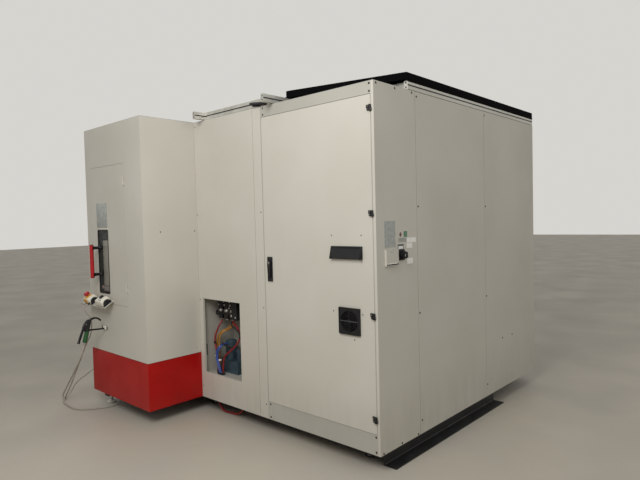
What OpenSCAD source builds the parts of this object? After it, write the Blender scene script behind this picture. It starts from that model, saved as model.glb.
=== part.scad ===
// Enclosed five-axis machining centre on a low steel base.
// Plan axes: X = 0 is the big side face, Y = 0 the control cabinet's front, Z = 0 the floor.
// place() moves the plan to the middle of the machine's footprint.

/* [Enclosure] */
// Overall width of the enclosure
machine_w = 2875; // [2800:5:2950]
// Depth of the side face
machine_d = 2525; // [2480:5:2600]
// Height of the enclosure panels
panel_h = 2350; // [2300:5:2400]
// Clear height under the panels
ground_gap = 120; // [110:1:140]
// Thickness of the folded sheet metal
sheet = 2; // [1.5:0.5:3]
// Depth of a panel's folded edges
return_d = 18; // [15:1:22]
// Gap between neighbouring panels
seam = 3; // [2:0.5:4]
// Distance from the front to the second seam of the side
side_split = 1490; // [1400:5:1600]
// Width of the narrow strip beside the cabinet
strip_w = 94; // [80:1:110]
// Diameter of the panel screws' heads
screw_d = 14; // [10:1:16]
// How far the screw heads stand out
screw_proud = 1.2; // [0.8:0.2:2]
// Side of the square enclosure posts
post_w = 60; // [50:5:70]

/* [Front box] */
// Width of the projecting front box
box_w = 976; // [950:1:1000]
// How far the front box projects
box_d = 506; // [480:1:540]
// Wall of the front box
box_wall = 3; // [2:0.5:4]
// Height of the coloured skirt
skirt_h = 386; // [350:1:420]
// Depth of the folded frame round the front door's opening
jamb_d = 40; // [34:1:50]
// Side of the feet's top plates and the front supports
front_foot_w = 60; // [50:2:80]

/* [Front door] */
// Width of the front door
door_w = 607; // [590:1:620]
// Height of the front door
door_h = 1185; // [1150:1:1200]
// Bottom of the front door above the panels' lower edge
door_low = 820; // [800:1:840]
// Distance from the box's left edge to the door
door_margin = 85; // [75:1:95]
// Thickness of the front door
door_t = 28; // [24:1:34]
// Width of the window
window_w = 184; // [170:1:200]
// Height of the window
window_h = 550; // [500:1:580]
// Window's lower edge above the door's lower edge
window_low = 86; // [80:1:100]
// Window's left edge from the door's left edge
window_left = 116; // [105:1:130]
// Thickness of the window's pane
pane_t = 8; // [6:1:10]
// Width of the window's rubber seal
seal_w = 12; // [10:1:16]
// Diameter of the tube handle
grip_d = 34; // [30:1:38]
// Length of the tube handle
grip_l = 292; // [270:2:320]
// Distance of the handle from the door
grip_out = 80; // [70:1:90]
// Middle of the handle above the door's lower edge
grip_mid = 367; // [350:1:380]
// Diameter of the handle's standoffs
standoff_d = 20; // [16:1:24]

/* [Pendants] */
// Width of the sloping pendant shelf
shelf_w = 445; // [430:1:460]
// Distance from the box's left edge to the shelf
shelf_left = 15; // [10:1:25]
// Length of the shelf's slope
shelf_l = 104; // [98:1:120]
// Slope of the shelf
shelf_tilt = 32; // [25:1:38]
// Thickness of the shelf's sheet
shelf_t = 3; // [2:0.5:4]
// Rear edge of the shelf above the door's lower edge
shelf_up = 34; // [30:1:40]
// Height of the shelf's lip
lip_h = 12; // [10:1:16]
// Width of the stop pendant
stop_w = 126; // [118:1:130]
// Width of the handwheel pendant
wheel_pendant_w = 132; // [124:1:140]
// Height of the pendants' bodies
pendant_h = 62; // [56:1:68]
// Diameter of the emergency stop's cap
mushroom_d = 46; // [40:1:50]
// Diameter of the handwheel dial
dial_d = 34; // [30:1:40]

/* [Coolant gun] */
// Diameter of the gun's body
gun_d = 34; // [30:1:36]
// Diameter of the gun's nozzle tube
nozzle_d = 12; // [10:1:14]
// Diameter of the green grip
gun_grip_d = 38; // [36:1:42]
// Height of the gun's clip above the panels' lower edge
holder_up = 605; // [590:1:620]
// Distance of the gun's clip from the front box
holder_out = 163; // [155:1:175]
// Lean of the gun towards the box
gun_tilt = 14.7; // [10:0.1:20]
// Diameter of the gun's hose
hose_d = 14; // [12:1:16]
// Diameter of the pendant's cable
cable_d = 10; // [8:1:12]

/* [Control cabinet] */
// Width of the control cabinet
cab_w = 1046; // [1000:1:1080]
// Depth of the control cabinet
cab_d = 467; // [440:1:500]
// Height of the rail above the cabinet door
head_h = 78; // [70:1:90]
// Height of the sill under the cabinet door
sill_h = 132; // [120:1:150]
// Width of the stile on the hinge side
stile_w = 24; // [22:1:30]
// Width of the stile on the handle side
lock_stile_w = 6; // [5:1:10]
// Depth of the cabinet's front frame
frame_d = 24; // [22:1:28]
// Wall of the cabinet's carcass
carcass_wall = 3; // [2:0.5:4]
// Height of a hinge
hinge_h = 40; // [36:1:44]
// Diameter of the hinge pins
pin_d = 6; // [5:1:8]
// Width of the handle's base
latch_w = 50; // [46:1:56]
// Height of the handle's base
latch_h = 181; // [170:1:190]
// Width of the ventilation hood
hood_w = 276; // [260:1:290]
// Height of the ventilation hood
hood_h = 84; // [76:1:92]
// Depth of the ventilation hood
hood_d = 62; // [50:1:70]
// Side of the filter fan's frame
fan_w = 175; // [165:1:185]
// Number of servo drives in the cabinet
drive_count = 6; // [4:1:7]

/* [Main switch] */
// Side of the switch plate
switch_w = 70; // [66:1:74]
// Distance of the switch from the front corner
switch_y = 270; // [250:1:290]
// Height of the switch above the panels' lower edge
switch_up = 1257; // [1230:1:1280]
// How far the switch knob stands out
knob_out = 48; // [42:1:54]
// Width of the document pocket
pocket_w = 135; // [120:1:150]
// Height of the document pocket
pocket_h = 105; // [95:1:120]
// Depth of the document pocket
pocket_d = 14; // [12:1:18]

/* [Service opening] */
// Width of the service opening
service_w = 491; // [460:1:520]
// Height of the service opening
service_h = 632; // [600:1:660]
// Bottom of the service opening above the panels' lower edge
service_low = 223; // [200:1:240]
// Depth of the service compartment
service_d = 330; // [300:5:340]
// Distance from the front box to the opening
service_left = 51; // [45:1:60]

/* [Base and roof] */
// Height of the base beams
beam_h = 116; // [104:1:128]
// Width of the base beams' lower flange
flange_w = 102; // [90:1:115]
// Thickness of the base beams
beam_t = 8; // [6:1:10]
// Length of the base beams
beam_l = 1620; // [1500:10:1700]
// Distance of the beams' front end from the cabinet's front
beam_y = 128; // [110:1:150]
// Width of the roof rails
rail_w = 30; // [26:2:36]
// Height of the roof rails
rail_h = 60; // [54:2:66]
// Overhang of the long roof rails in front of the cabinet
rail_over = 91; // [80:1:110]
// Distance from the front to the roof cover at the side
cover_y = 385; // [360:1:410]
// Thickness of the pleated roof cover
cover_h = 46; // [40:1:52]
// Pitch of the roof cover's pleats
pleat = 44; // [36:2:60]

/* [Machine] */
// Gap between the bed and the control cabinet
bed_side = 134; // [120:1:160]
// Thickness of the bed's side walls
bed_wall = 220; // [200:5:240]
// Height of the bed's side walls above the floor
bed_top = 1740; // [1700:5:1760]
// Gap between the bed and the rear panels
bed_rear = 195; // [180:5:240]
// Front of the bed behind the cabinet's front
bed_y = 380; // [365:5:400]
// Height of the bed's floor above the floor
bed_floor = 600; // [560:5:620]
// Distance of the trunnion's axis from the bed's front
trunnion_y = 450; // [445:1:460]
// Height of the trunnion's axis
trunnion_z = 1090; // [1080:1:1110]
// Diameter of the rotary table
table_d = 560; // [500:5:600]
// Diameter of the rotary table's centre bore
centre_bore_d = 50; // [40:1:60]
// Diameter of the trunnion's journals
journal_d = 300; // [260:2:320]
// Width of the guide rails
guide_w = 45; // [40:1:55]
// Height of the guide rails
guide_h = 30; // [26:1:36]
// Side of the spindle ram
ram_w = 280; // [260:2:300]
// Length of the spindle ram
ram_l = 780; // [760:5:790]
// Diameter of the spindle's taper bore
taper_d = 48; // [38:1:60]
// Diameter of the tool magazine's wheel
wheel_d = 1440; // [1380:10:1500]
// Number of tool pockets
tool_count = 30; // [20:1:36]
/* [Hidden] */
$fn = 48;
play = 0.3;
eps = 1;
run = 0.05;

x_left = -machine_w;
x_box = x_left + box_w;
x_cab = -cab_w;
x_strip = x_cab - strip_w;
y_box = -box_d;
y_rear = machine_d;
z_low = ground_gap;
z_top = ground_gap + panel_h;
z_skirt = z_low + skirt_h;
beam_x = -74;
base_out = beam_x + flange_w;
lever_tip = [-47, -110];
front_out = holder_out - lever_tip[0] * cos(gun_tilt) - lever_tip[1] * sin(gun_tilt);
shift_x = (machine_w + base_out - knob_out) / 2;
shift_y = (box_d + front_out - machine_d - screw_proud) / 2;

door_x = [x_left + door_margin, x_left + door_margin + door_w];
door_z = [z_low + door_low, z_low + door_low + door_h];
door_pivot = [door_x[1] + seam / 2, y_box - 6];
door_gap = 2;
landing = 18;
hole_x = [door_x[0] - door_gap, door_x[1] + door_gap];
hole_z = [door_z[0] - door_gap, door_z[1] + door_gap];
win_x = [door_x[0] + window_left, door_x[0] + window_left + window_w];
win_z = [door_z[0] + window_low, door_z[0] + window_low + window_h];
grip_x = win_x[0] + 34;

cab_door_x = [x_cab + lock_stile_w, -stile_w - seam / 2];
cab_door_z = [z_low + sill_h + seam, z_top - head_h - seam];
cab_pivot = [-stile_w, -9];
hinge_z = [for (h = [209, 866, 1512, 2164]) z_low + h];
latch_x = x_cab + 66;
latch_z = z_low + 1144;
latch_pivot = latch_z + 46;
hood_x = -247;
hood_z = z_low + 1241;
fan_x = -224;
fan_z = z_low + 837;
fan_bore = fan_w - 36;

service_x = [x_box + service_left, x_box + service_left + service_w];
service_z = [z_low + service_low, z_low + service_low + service_h];

roof_t = 3;
z_rail = z_top + roof_t;
z_cover = z_rail + rail_h;
inner_rail_x = -918;
outer_rail_x = -1764;

bed_x = [x_left + 95 + bed_wall, x_cab - bed_side - bed_wall];
bed_gap = bed_x[1] - bed_x[0];
bed_l = machine_d - bed_y - bed_rear;
bed_out = [bed_x[0] - bed_wall, bed_x[1] + bed_wall];
mid_x = (bed_x[0] + bed_x[1]) / 2;
axis_y = bed_y + trunnion_y;
home_y = axis_y + 650;
z_guide = bed_top + guide_h;
small_guide = [36, 24];
slide_y = [home_y + ram_w / 2 + 32, home_y + ram_w / 2 + 88];
trav_y = [slide_y[1] + 32, slide_y[1] + 32 + 420];
trav_z = [z_guide + 32, z_guide + 32 + 470];
nose_z = 1620;
ram_z = [nose_z + 110, nose_z + 110 + ram_l - 90];

wheel_x = -560;
wheel_y = 1260;
wheel_z = 1240;

// Moves the plan so that the middle of the footprint is at the origin
module place() {
    translate([shift_x, shift_y, 0]) children();
}

// A block between two limits on each axis
module block(x, y, z) {
    translate([x[0], y[0], z[0]]) cube([x[1] - x[0], y[1] - y[0], z[1] - z[0]]);
}

// Limits moved in from both ends
function inset(r, a) = [r[0] + a, r[1] - a];
function span(mid, width) = [mid - width / 2, mid + width / 2];

// A folded panel: a sheet with four returned edges, open at its back
module tray_y(x, y_face, z, depth = return_d, dir = 1) {
    y = dir > 0 ? [y_face, y_face + depth] : [y_face - depth, y_face];
    difference() {
        block(x, y, z);
        block(inset(x, sheet), dir > 0 ? [y[0] + sheet, y[1] + eps] : [y[0] - eps, y[1] - sheet],
            inset(z, sheet));
    }
}
module tray_x(x_face, y, z, depth = return_d, dir = 1) {
    x = dir > 0 ? [x_face, x_face + depth] : [x_face - depth, x_face];
    difference() {
        block(x, y, z);
        block(dir > 0 ? [x[0] + sheet, x[1] + eps] : [x[0] - eps, x[1] - sheet],
            inset(y, sheet), inset(z, sheet));
    }
}

// A round bar between two points
module bar(a, b, d) {
    v = b - a;
    translate(a) rotate([0, acos(v[2] / norm(v)), atan2(v[1], v[0])]) cylinder(d = d, h = norm(v));
}

// Base: two formed beams, cross members and levelling feet
module beam_section() {
    bend = 14;
    difference() {
        union() {
            square([beam_t, beam_h]);
            square([flange_w, beam_t]);
            square([bend, bend]);
            translate([0, beam_h - beam_t]) square([40, beam_t]);
        }
        translate([beam_t + bend, beam_t + bend]) circle(r = bend);
    }
}
module one_beam() {
    rotate([90, 0, 180]) translate([0, 0, 0]) linear_extrude(height = beam_l) beam_section();
}
module base_beams() {
    color("#1c1d20") place() {
        translate([beam_x, beam_y, 0]) mirror([1, 0, 0]) one_beam();
        translate([x_left - beam_x, beam_y, 0]) one_beam();
    }
}

cross_z = [28, beam_h];
cross_w = 100;
cross_y = [beam_y + 20, bed_y + 410, side_split - cross_w / 2];
support_x = [x_left + 110, x_box - 431];
support_y = [y_box + 60, y_box + 306];
module base_cross_members() {
    color("#26272a") place() {
        for (y = cross_y) block([x_left - beam_x, beam_x], [y, y + cross_w], cross_z);
        for (i = [0, 1])
            block(span(support_x[i], front_foot_w), [support_y[i], cross_y[0] - play], [60, beam_h]);
        translate([support_x[0] + front_foot_w / 2, hose_fit[1], hose_fit[2]])
            rotate([0, 90, 0]) cylinder(d = 22, h = hose_fit[0] - support_x[0] - front_foot_w / 2);
    }
}

foot_d = 80;
cable_gland = [x_left - 14, -490, z_low + 170];
hose_fit = [support_x[0] + front_foot_w / 2 + 20, -330, 88];
feet = concat(
    [for (x = [x_left + 220, (x_left + x_cab) / 2, -230]) for (y = cross_y) [x, y + cross_w / 2, cross_z[0]]],
    [for (i = [0, 1]) [support_x[i], support_y[i] + 50, 60]]);
module levelling_feet() {
    color("#d8d6cf") place()
        for (p = feet) translate([p[0], p[1], 0]) {
            cylinder(d = foot_d, h = 12);
            translate([0, 0, 12]) cylinder(d1 = foot_d * 0.7, d2 = 30, h = 8);
            translate([0, 0, 20]) cylinder(d = 24, h = p[2] - 20);
        }
}

// Cast bed: floor with chip slope, two side walls and a rear wall
module machine_bed() {
    y = [bed_y, bed_y + bed_l];
    z0 = beam_h;
    color("#8c9196") place() difference() {
        block(bed_out, y, [z0, bed_top]);
        block(bed_x, [y[0] - eps, y[1] - 380], [bed_floor, bed_top + eps]);
        block(bed_x, [y[1] - 380 - eps, y[1] + eps], [1250, bed_top + eps]);
        // Chip chute through the bed's floor
        block(inset(bed_x, 180), [y[0] - eps, y[1] - 560], [360, bed_floor + eps]);
        // Bores for the trunnion's bearings
        for (x = [bed_out[0] - eps, bed_x[1] - eps]) translate([x, axis_y, trunnion_z])
            rotate([0, 90, 0]) cylinder(d = journal_d, h = bed_wall + 2 * eps);
        // Lightening pockets on the outer sides
        for (side = [0, 1]) for (i = [0:2])
            block(side == 0 ? [bed_out[0] - eps, bed_out[0] + 20] : [bed_out[1] - 20, bed_out[1] + eps],
                [y[0] + 870 + i * 350, y[0] + 1150 + i * 350], [300, bed_top - 160]);
    }
}

guide_x = [bed_x[0] - bed_wall / 2, bed_x[1] + bed_wall / 2];
module guide_profile(w, h, gap = 0) {
    s = w / 2 + gap;
    neck = w * 0.36 + gap;
    polygon([[-s, -gap], [s, -gap], [s, h * 0.35], [neck, h * 0.5], [neck, h * 0.6],
        [s, h * 0.75], [s, h + gap], [-s, h + gap], [-s, h * 0.75], [-neck, h * 0.6],
        [-neck, h * 0.5], [-s, h * 0.35]]);
}
module y_guide_rails() {
    color("#c9ccd0") place()
        for (x = guide_x) translate([x, bed_y + bed_l - 20, bed_top])
            rotate([90, 0, 0]) linear_extrude(height = bed_l - 400) guide_profile(guide_w, guide_h);
}

// Lining between the front door and the bed
module cabin_plan(a) {
    y = [y_box + jamb_d, bed_y];
    polygon([[hole_x[0] + 4 + a, y[0] - a], [hole_x[1] - 4 - a, y[0] - a], [x_box - 75 - a, 0],
        [x_box - 75 - a, y[1] + a], [bed_x[0] - sheet + a, y[1] + a]]);
}
module cabin_side(a) {
    y = [y_box + jamb_d - a, bed_y + a];
    z = [hole_z[0] + landing - sheet + a, hole_z[1] - landing + sheet - a];
    polygon([[y[0], z[0]], [y[0], z[1]], [y[1], z[1]], [y[1], 700 + a]]);
}
module cabin_solid(a) {
    intersection() {
        linear_extrude(height = z_top) cabin_plan(a);
        translate([x_left, 0, 0]) rotate([90, 0, 90]) linear_extrude(height = machine_w) cabin_side(a);
    }
}
module work_cabin() {
    color("#b8bbbc") place() difference() {
        cabin_solid(0);
        cabin_solid(sheet);
    }
}

// Posts that carry the enclosure's panels
post_at = [
    [x_left + return_d, y_rear - return_d - post_w],
    [x_left + return_d, side_split - post_w / 2],
    [x_box - 40, return_d],
    [x_strip + 17, return_d],
    [-return_d - post_w, y_rear - return_d - post_w],
    [-return_d - post_w, side_split - post_w / 2],
    [-return_d - post_w, cab_d + seam],
    [x_cab - 20, y_rear - return_d - post_w],
];
module enclosure_posts() {
    color("#b9b7af") place() for (p = post_at)
        translate([p[0], p[1], beam_h]) difference() {
            cube([post_w, post_w, z_top - beam_h]);
            translate([4, 4, -eps]) cube([post_w - 8, post_w - 8, panel_h + post_w]);
        }
}

// Side panels
paint = "#c9c6bc";
module side_panel_front() {
    color(paint) place() tray_x(0, [0, cab_d - seam / 2], [z_low, z_top], dir = -1);
}
module side_panel_middle() {
    color(paint) place()
        tray_x(0, [cab_d + seam / 2, side_split - seam / 2], [z_low, z_top], dir = -1);
}
module side_panel_rear() {
    color(paint) place() tray_x(0, [side_split + seam / 2, y_rear], [z_low, z_top], dir = -1);
}
module rear_panels() {
    x = [x_left + return_d + seam, -return_d - seam];
    w = (x[1] - x[0]) / 3;
    color(paint) place() for (i = [0:2])
        tray_y([x[0] + i * w + (i > 0 ? seam / 2 : 0), x[0] + (i + 1) * w - (i < 2 ? seam / 2 : 0)],
            y_rear, [z_low, z_top], dir = -1);
}
module left_panels() {
    y = [seam / 2, y_rear];
    color(paint) place() for (s = [[y[0], side_split - seam / 2], [side_split + seam / 2, y[1]]])
        tray_x(x_left, s, [z_low, z_top], dir = 1);
}

// Front panel with the service opening
module middle_panel() {
    x = [x_box + seam / 2, x_strip - seam / 2];
    color(paint) place() difference() {
        union() {
            tray_y(x, 0, [z_low, z_top]);
            block([service_x[0] - sheet, service_x[1] + sheet], [0, return_d],
                [service_z[0] - sheet, service_z[1] + sheet]);
        }
        block(service_x, [-eps, return_d + eps], service_z);
    }
}
module pillar_strip() {
    color(paint) place() tray_y([x_strip + seam / 2, x_cab - seam / 2], 0, [z_low, z_top]);
}

// Front box: one folded cover with the door's opening
module front_box() {
    x = [x_left, x_box];
    z = [z_skirt + seam / 2, z_top];
    color(paint) place() {
        difference() {
            union() {
                difference() {
                    block(x, [y_box, 0], z);
                    block(inset(x, box_wall), [y_box + box_wall, eps], [z[0] - eps, z[1] + eps]);
                }
                block([x_box - box_wall, x_box], [-eps, return_d], z);
                // Jambs behind the opening, with a landing for the door
                block([hole_x[0] - 20, hole_x[1] + 20], [y_box, y_box + jamb_d],
                    [hole_z[0] - 20, hole_z[1] + 20]);
            }
            block(hole_x, [y_box - eps, y_box + door_t + 2], hole_z);
            block(inset(hole_x, landing), [y_box, y_box + jamb_d + eps], inset(hole_z, landing));
        }
        door_knuckles(0);
    }
}

// Skirt of the front box
module red_skirt() {
    x = [x_left, x_box];
    z = [z_low, z_skirt - seam / 2];
    color("#b0100f") place() {
        difference() {
            block(x, [y_box, 0], z);
            block(inset(x, box_wall), [y_box + box_wall, eps], [z[0] - eps, z[1] + eps]);
        }
        block([x_box - box_wall, x_box], [-eps, return_d], z);
        translate([cable_gland[0], cable_gland[1], cable_gland[2]]) rotate([0, 90, 0])
            cylinder(d = 18, h = x_left - cable_gland[0] + 1);
    }
}

// Roof
module roof_plate() {
    in = 4;
    z = [z_top, z_top + roof_t];
    color("#aeaca4") place() {
        block([x_left + in, x_box - in], [y_box + in, in - play], z);
        block([x_left + in, -in], [in, y_rear - in], z);
    }
}

// Two tubes stacked in one extrusion
module rail_section() {
    h = rail_h / 2;
    difference() {
        union() {
            for (i = [0, 1]) translate([-rail_w / 2, i * h + 1.5]) square([rail_w, h - 3]);
            translate([-rail_w / 4, 0]) square([rail_w / 2, rail_h]);
        }
        for (i = [0, 1]) translate([0, i * h + h / 2]) circle(d = h * 0.42, $fn = 24);
    }
}
module rail_y(x, y) {
    translate([x, y[1], z_rail]) rotate([90, 0, 0]) linear_extrude(height = y[1] - y[0]) rail_section();
}
module rail_x(x, y) {
    translate([x[0], y, z_rail]) rotate([90, 0, 90]) linear_extrude(height = x[1] - x[0]) rail_section();
}
side_rail_x = -rail_w / 2;
rail_in = rail_w / 2 + play;
module roof_rails() {
    color("#b9b7af") place() {
        rail_y(side_rail_x, [cover_y, y_rear - 5]);
        for (x = [inner_rail_x, outer_rail_x]) rail_y(x, [-rail_over, y_rear - 60]);
        rail_x([inner_rail_x + rail_in, side_rail_x - rail_in], cover_y + 40);
        rail_x([outer_rail_x + rail_in, inner_rail_x - rail_in], 22);
        rail_x([outer_rail_x + rail_in, inner_rail_x - rail_in], y_rear - 120);
    }
}

// Pleated roof cover with a slanted front edge
module roof_cover() {
    x = [inner_rail_x, 0];
    slant = 227;
    y0 = cover_y - 13;
    n = floor((y_rear - 10 - (y0 - slant)) / pleat);
    fold = 10;
    y_end = y_rear - 6;
    color("#1b1b1d") place() intersection() {
        translate([x[0], 0, z_cover]) rotate([90, 0, 90]) linear_extrude(height = x[1] - x[0])
            polygon(concat([[y_end - n * pleat, 0]],
                [for (i = [0:n - 1]) for (s = [0, 1])
                    [y_end - (n - i - s / 2) * pleat, cover_h - (s == 0 ? fold : 0)]],
                [[y_end, cover_h - fold], [y_end, 0]]));
        translate([0, 0, z_cover - eps]) linear_extrude(height = cover_h + 2 * eps)
            polygon([[x[1], y0], [x[1], y_rear], [x[0], y_rear], [x[0], y0 - slant]]);
    }
}

// Control cabinet
carcass_x = [x_cab, -return_d];
module cabinet_carcass() {
    y = [frame_d, cab_d - seam];
    front = [-eps + 3, frame_d + carcass_wall + eps];
    open_x = [x_cab + lock_stile_w + 22, -stile_w - 22];
    open_z = [z_low + sill_h + 20, z_top - head_h - 20];
    color(paint) place() difference() {
        union() {
            block(carcass_x, y, [z_low, z_top]);
            block(carcass_x, [0, frame_d], [z_low, z_low + sill_h]);
            block(carcass_x, [0, frame_d], [z_top - head_h, z_top]);
            block([x_cab, x_cab + lock_stile_w - sheet], [0, frame_d], [z_low, z_top]);
            block([-stile_w, carcass_x[1]], [0, frame_d], [z_low, z_top]);
        }
        block(inset(carcass_x, carcass_wall), [frame_d + carcass_wall, y[1] - carcass_wall],
            inset([z_low, z_top], carcass_wall));
        block(open_x, [frame_d - eps, frame_d + carcass_wall + eps], open_z);
        // Folded header and sill, open to the inside
        block(inset(carcass_x, carcass_wall), front, inset([z_top - head_h, z_top], carcass_wall));
        block(inset(carcass_x, carcass_wall), front, inset([z_low, z_low + sill_h], carcass_wall));
        // Sunk panel of the sill
        block([x_cab + 53, -49], [-eps, 1.2], [z_low + 16, z_low + sill_h - 14]);
    }
}
plate_y = cab_d - seam - carcass_wall - 30;
plate_x = inset(carcass_x, 60);
plate_z = [z_low + 180, z_top - 160];
module mounting_plate() {
    color("#c2c5c4") place() {
        block(plate_x, [plate_y, plate_y + 3], plate_z);
        for (x = [plate_x[0] + 20, plate_x[1] - 50]) for (z = [plate_z[0] + 40, plate_z[1] - 80])
            block([x, x + 30], [plate_y + 3, plate_y + 30], [z, z + 40]);
        // Slotted cable ducts
        for (z = [0.06, 0.36, 0.6, 0.96]) let (zz = plate_z[0] + z * (plate_z[1] - plate_z[0]))
            difference() {
                block(inset(plate_x, 30), [plate_y - 60, plate_y], span(zz, 60));
                for (x = [plate_x[0] + 45:24:plate_x[1] - 55])
                    block([x, x + 10], [plate_y - 61, plate_y - 20], [zz - 31, zz + 31]);
            }
    }
}
drive_w = 90;
drive_z = [plate_z[0] + 0.64 * (plate_z[1] - plate_z[0]), plate_z[0] + 0.92 * (plate_z[1] - plate_z[0])];
module drive_modules() {
    color("#3b3d40") place() {
        for (i = [0:drive_count - 1]) let (x = plate_x[0] + 50 + i * (drive_w + 12)) difference() {
            block([x, x + drive_w], [plate_y - 210, plate_y], drive_z);
            for (k = [0:7]) block([x + 12, x + drive_w - 12], [plate_y - 211, plate_y - 204],
                [drive_z[0] + 60 + k * 26, drive_z[0] + 70 + k * 26]);
        }
        // Two rows of relays and terminals
        for (r = [0, 1]) let (z = plate_z[0] + (0.15 + r * 0.29) * (plate_z[1] - plate_z[0]))
            for (i = [0:9]) let (x = plate_x[0] + 60 + i * 74)
                block([x, x + 56], [plate_y - 90 + r * 20, plate_y], [z, z + 90]);
    }
}

// Hinges: a knuckle and pin on the stile, a knuckle on the door
knuckle_d = 16;
module cabinet_hinges() {
    color("#1e1e20") place() for (z = hinge_z) {
        block([-stile_w + 2, -2], [-4, 0], [z, z + hinge_h / 2 - play]);
        translate([cab_pivot[0], cab_pivot[1], z]) cylinder(d = knuckle_d, h = hinge_h / 2 - play);
        translate([cab_pivot[0], cab_pivot[1], z + hinge_h / 2 - play - eps])
            cylinder(d = pin_d, h = hinge_h / 2 + eps);
    }
}

module cabinet_door() {
    color(paint) place() difference() {
        tray_y(cab_door_x, 0, cab_door_z, depth = frame_d - 4);
        translate([fan_x, -eps, fan_z]) rotate([-90, 0, 0]) cylinder(d = fan_bore + 6, h = sheet + 2 * eps);
        block(span(hood_x, hood_w - 60), [-eps, sheet + eps], [hood_z + 22, hood_z + 60]);
        translate([latch_x, -eps, latch_pivot]) rotate([-90, 0, 0]) cylinder(d = 26, h = sheet + 2 * eps);
    }
}

// Hinge leaves and handle base on the cabinet door
module hinge_leaf(z) {
    difference() {
        union() {
            block([-stile_w - 32, -stile_w - 2], [-4, 0], [z, z + hinge_h / 2]);
            translate([cab_pivot[0], cab_pivot[1], z]) cylinder(d = knuckle_d, h = hinge_h / 2);
        }
        translate([cab_pivot[0], cab_pivot[1], z - eps])
            cylinder(d = pin_d + 2 * run, h = hinge_h / 2 + 2 * eps);
    }
}
module door_fittings() {
    color("#1e1e20") place() {
        for (z = hinge_z) hinge_leaf(z + hinge_h / 2);
        difference() {
            union() {
                block(span(latch_x, latch_w), [-8, 0], span(latch_z, latch_h));
                translate([latch_x, frame_d - 6, latch_pivot]) rotate([90, 0, 0])
                    cylinder(d = 26 - 2 * play, h = frame_d - 5);
            }
            translate([latch_x, frame_d, latch_pivot]) rotate([90, 0, 0])
                cylinder(d = 16 + 2 * run, h = frame_d + 20);
        }
    }
}

// Hood over the ventilation slot, open at the bottom
module vent_hood() {
    x = span(hood_x, hood_w);
    color("#1e1e20") place() translate([x[0], 0, hood_z]) rotate([90, 0, 90]) difference() {
        linear_extrude(height = hood_w)
            polygon([[0, 0], [0, hood_h], [-14, hood_h], [-hood_d, hood_h * 0.55], [-hood_d, 0]]);
        translate([0, 0, sheet]) linear_extrude(height = hood_w - 2 * sheet)
            polygon([[eps, -eps], [eps, hood_h - sheet], [-14, hood_h - sheet],
                [-hood_d + sheet, hood_h * 0.55 - 1], [-hood_d + sheet, -eps]]);
    }
}

// Filter fan: frame, finger guard and motor mount
fan_depth = 46;
module ring_y(d, w, y0, y1) {
    translate([fan_x, y1, fan_z]) rotate([90, 0, 0]) difference() {
        cylinder(d = d, h = y1 - y0);
        translate([0, 0, -eps]) cylinder(d = d - 2 * w, h = y1 - y0 + 2 * eps);
    }
}
module fan_guard() {
    f = span(fan_x, fan_w);
    g = span(fan_z, fan_w);
    color("#1e1e20") place() {
        difference() {
            union() {
                block(f, [-12, 0], g);
                translate([fan_x, fan_depth, fan_z]) rotate([90, 0, 0])
                    cylinder(d = fan_bore + 4, h = fan_depth);
            }
            translate([fan_x, fan_depth + eps, fan_z]) rotate([90, 0, 0])
                cylinder(d = fan_bore, h = fan_depth + 12 + 2 * eps);
        }
        for (d = [fan_bore + 1, 110, 82, 54]) ring_y(d, 3, -10, -7);
        translate([fan_x, -6, fan_z]) rotate([90, 0, 0]) cylinder(d = 34, h = 4);
        block(span(fan_x, fan_bore + 2), [-9.5, -7.5], span(fan_z, 6));
        for (a = [90, 210, 330]) translate([fan_x, 0, fan_z]) rotate([0, a, 0])
            block([0, fan_bore / 2 + 1], [fan_depth - 6, fan_depth], [-3, 3]);
        translate([fan_x, fan_depth, fan_z]) rotate([90, 0, 0]) cylinder(d = 46, h = 10);
        translate([fan_x, fan_depth - 10, fan_z]) rotate([90, 0, 0]) cylinder(d = 8, h = 12);
    }
}
module fan_rotor() {
    y = fan_depth - 10 - play;
    color("#2a2a2c") place() translate([fan_x, y, fan_z]) rotate([90, 0, 0]) difference() {
        union() {
            cylinder(d = 48, h = 26);
            for (a = [0:360 / 7:359]) rotate([0, 0, a]) translate([20, 0, 13]) rotate([32, 0, 0])
                translate([0, -1.5, -11]) cube([fan_bore / 2 - 20 - 4, 3, 22]);
        }
        translate([0, 0, -eps]) cylinder(d = 8 + 2 * run, h = 12 + 2 * eps);
    }
}

// Swing handle of the cabinet, with the cam behind the door
module swing_handle() {
    reach = frame_d + 8;
    color("#242426") place() translate([latch_x, 0, latch_pivot]) {
        translate([0, reach, 0]) rotate([90, 0, 0]) cylinder(d = 16, h = reach + 9);
        translate([0, -8 - play, 0]) rotate([90, 0, 0]) difference() {
            hull() {
                cylinder(d = 34, h = 12, $fn = 32);
                translate([0, -96, 0]) cylinder(d = 24, h = 12, $fn = 32);
            }
            translate([0, -96, 8]) cylinder(d = 12, h = 6, $fn = 24);
        }
        block([-32, 6], [reach - 4, reach], [-9, 9]);
    }
}

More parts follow.
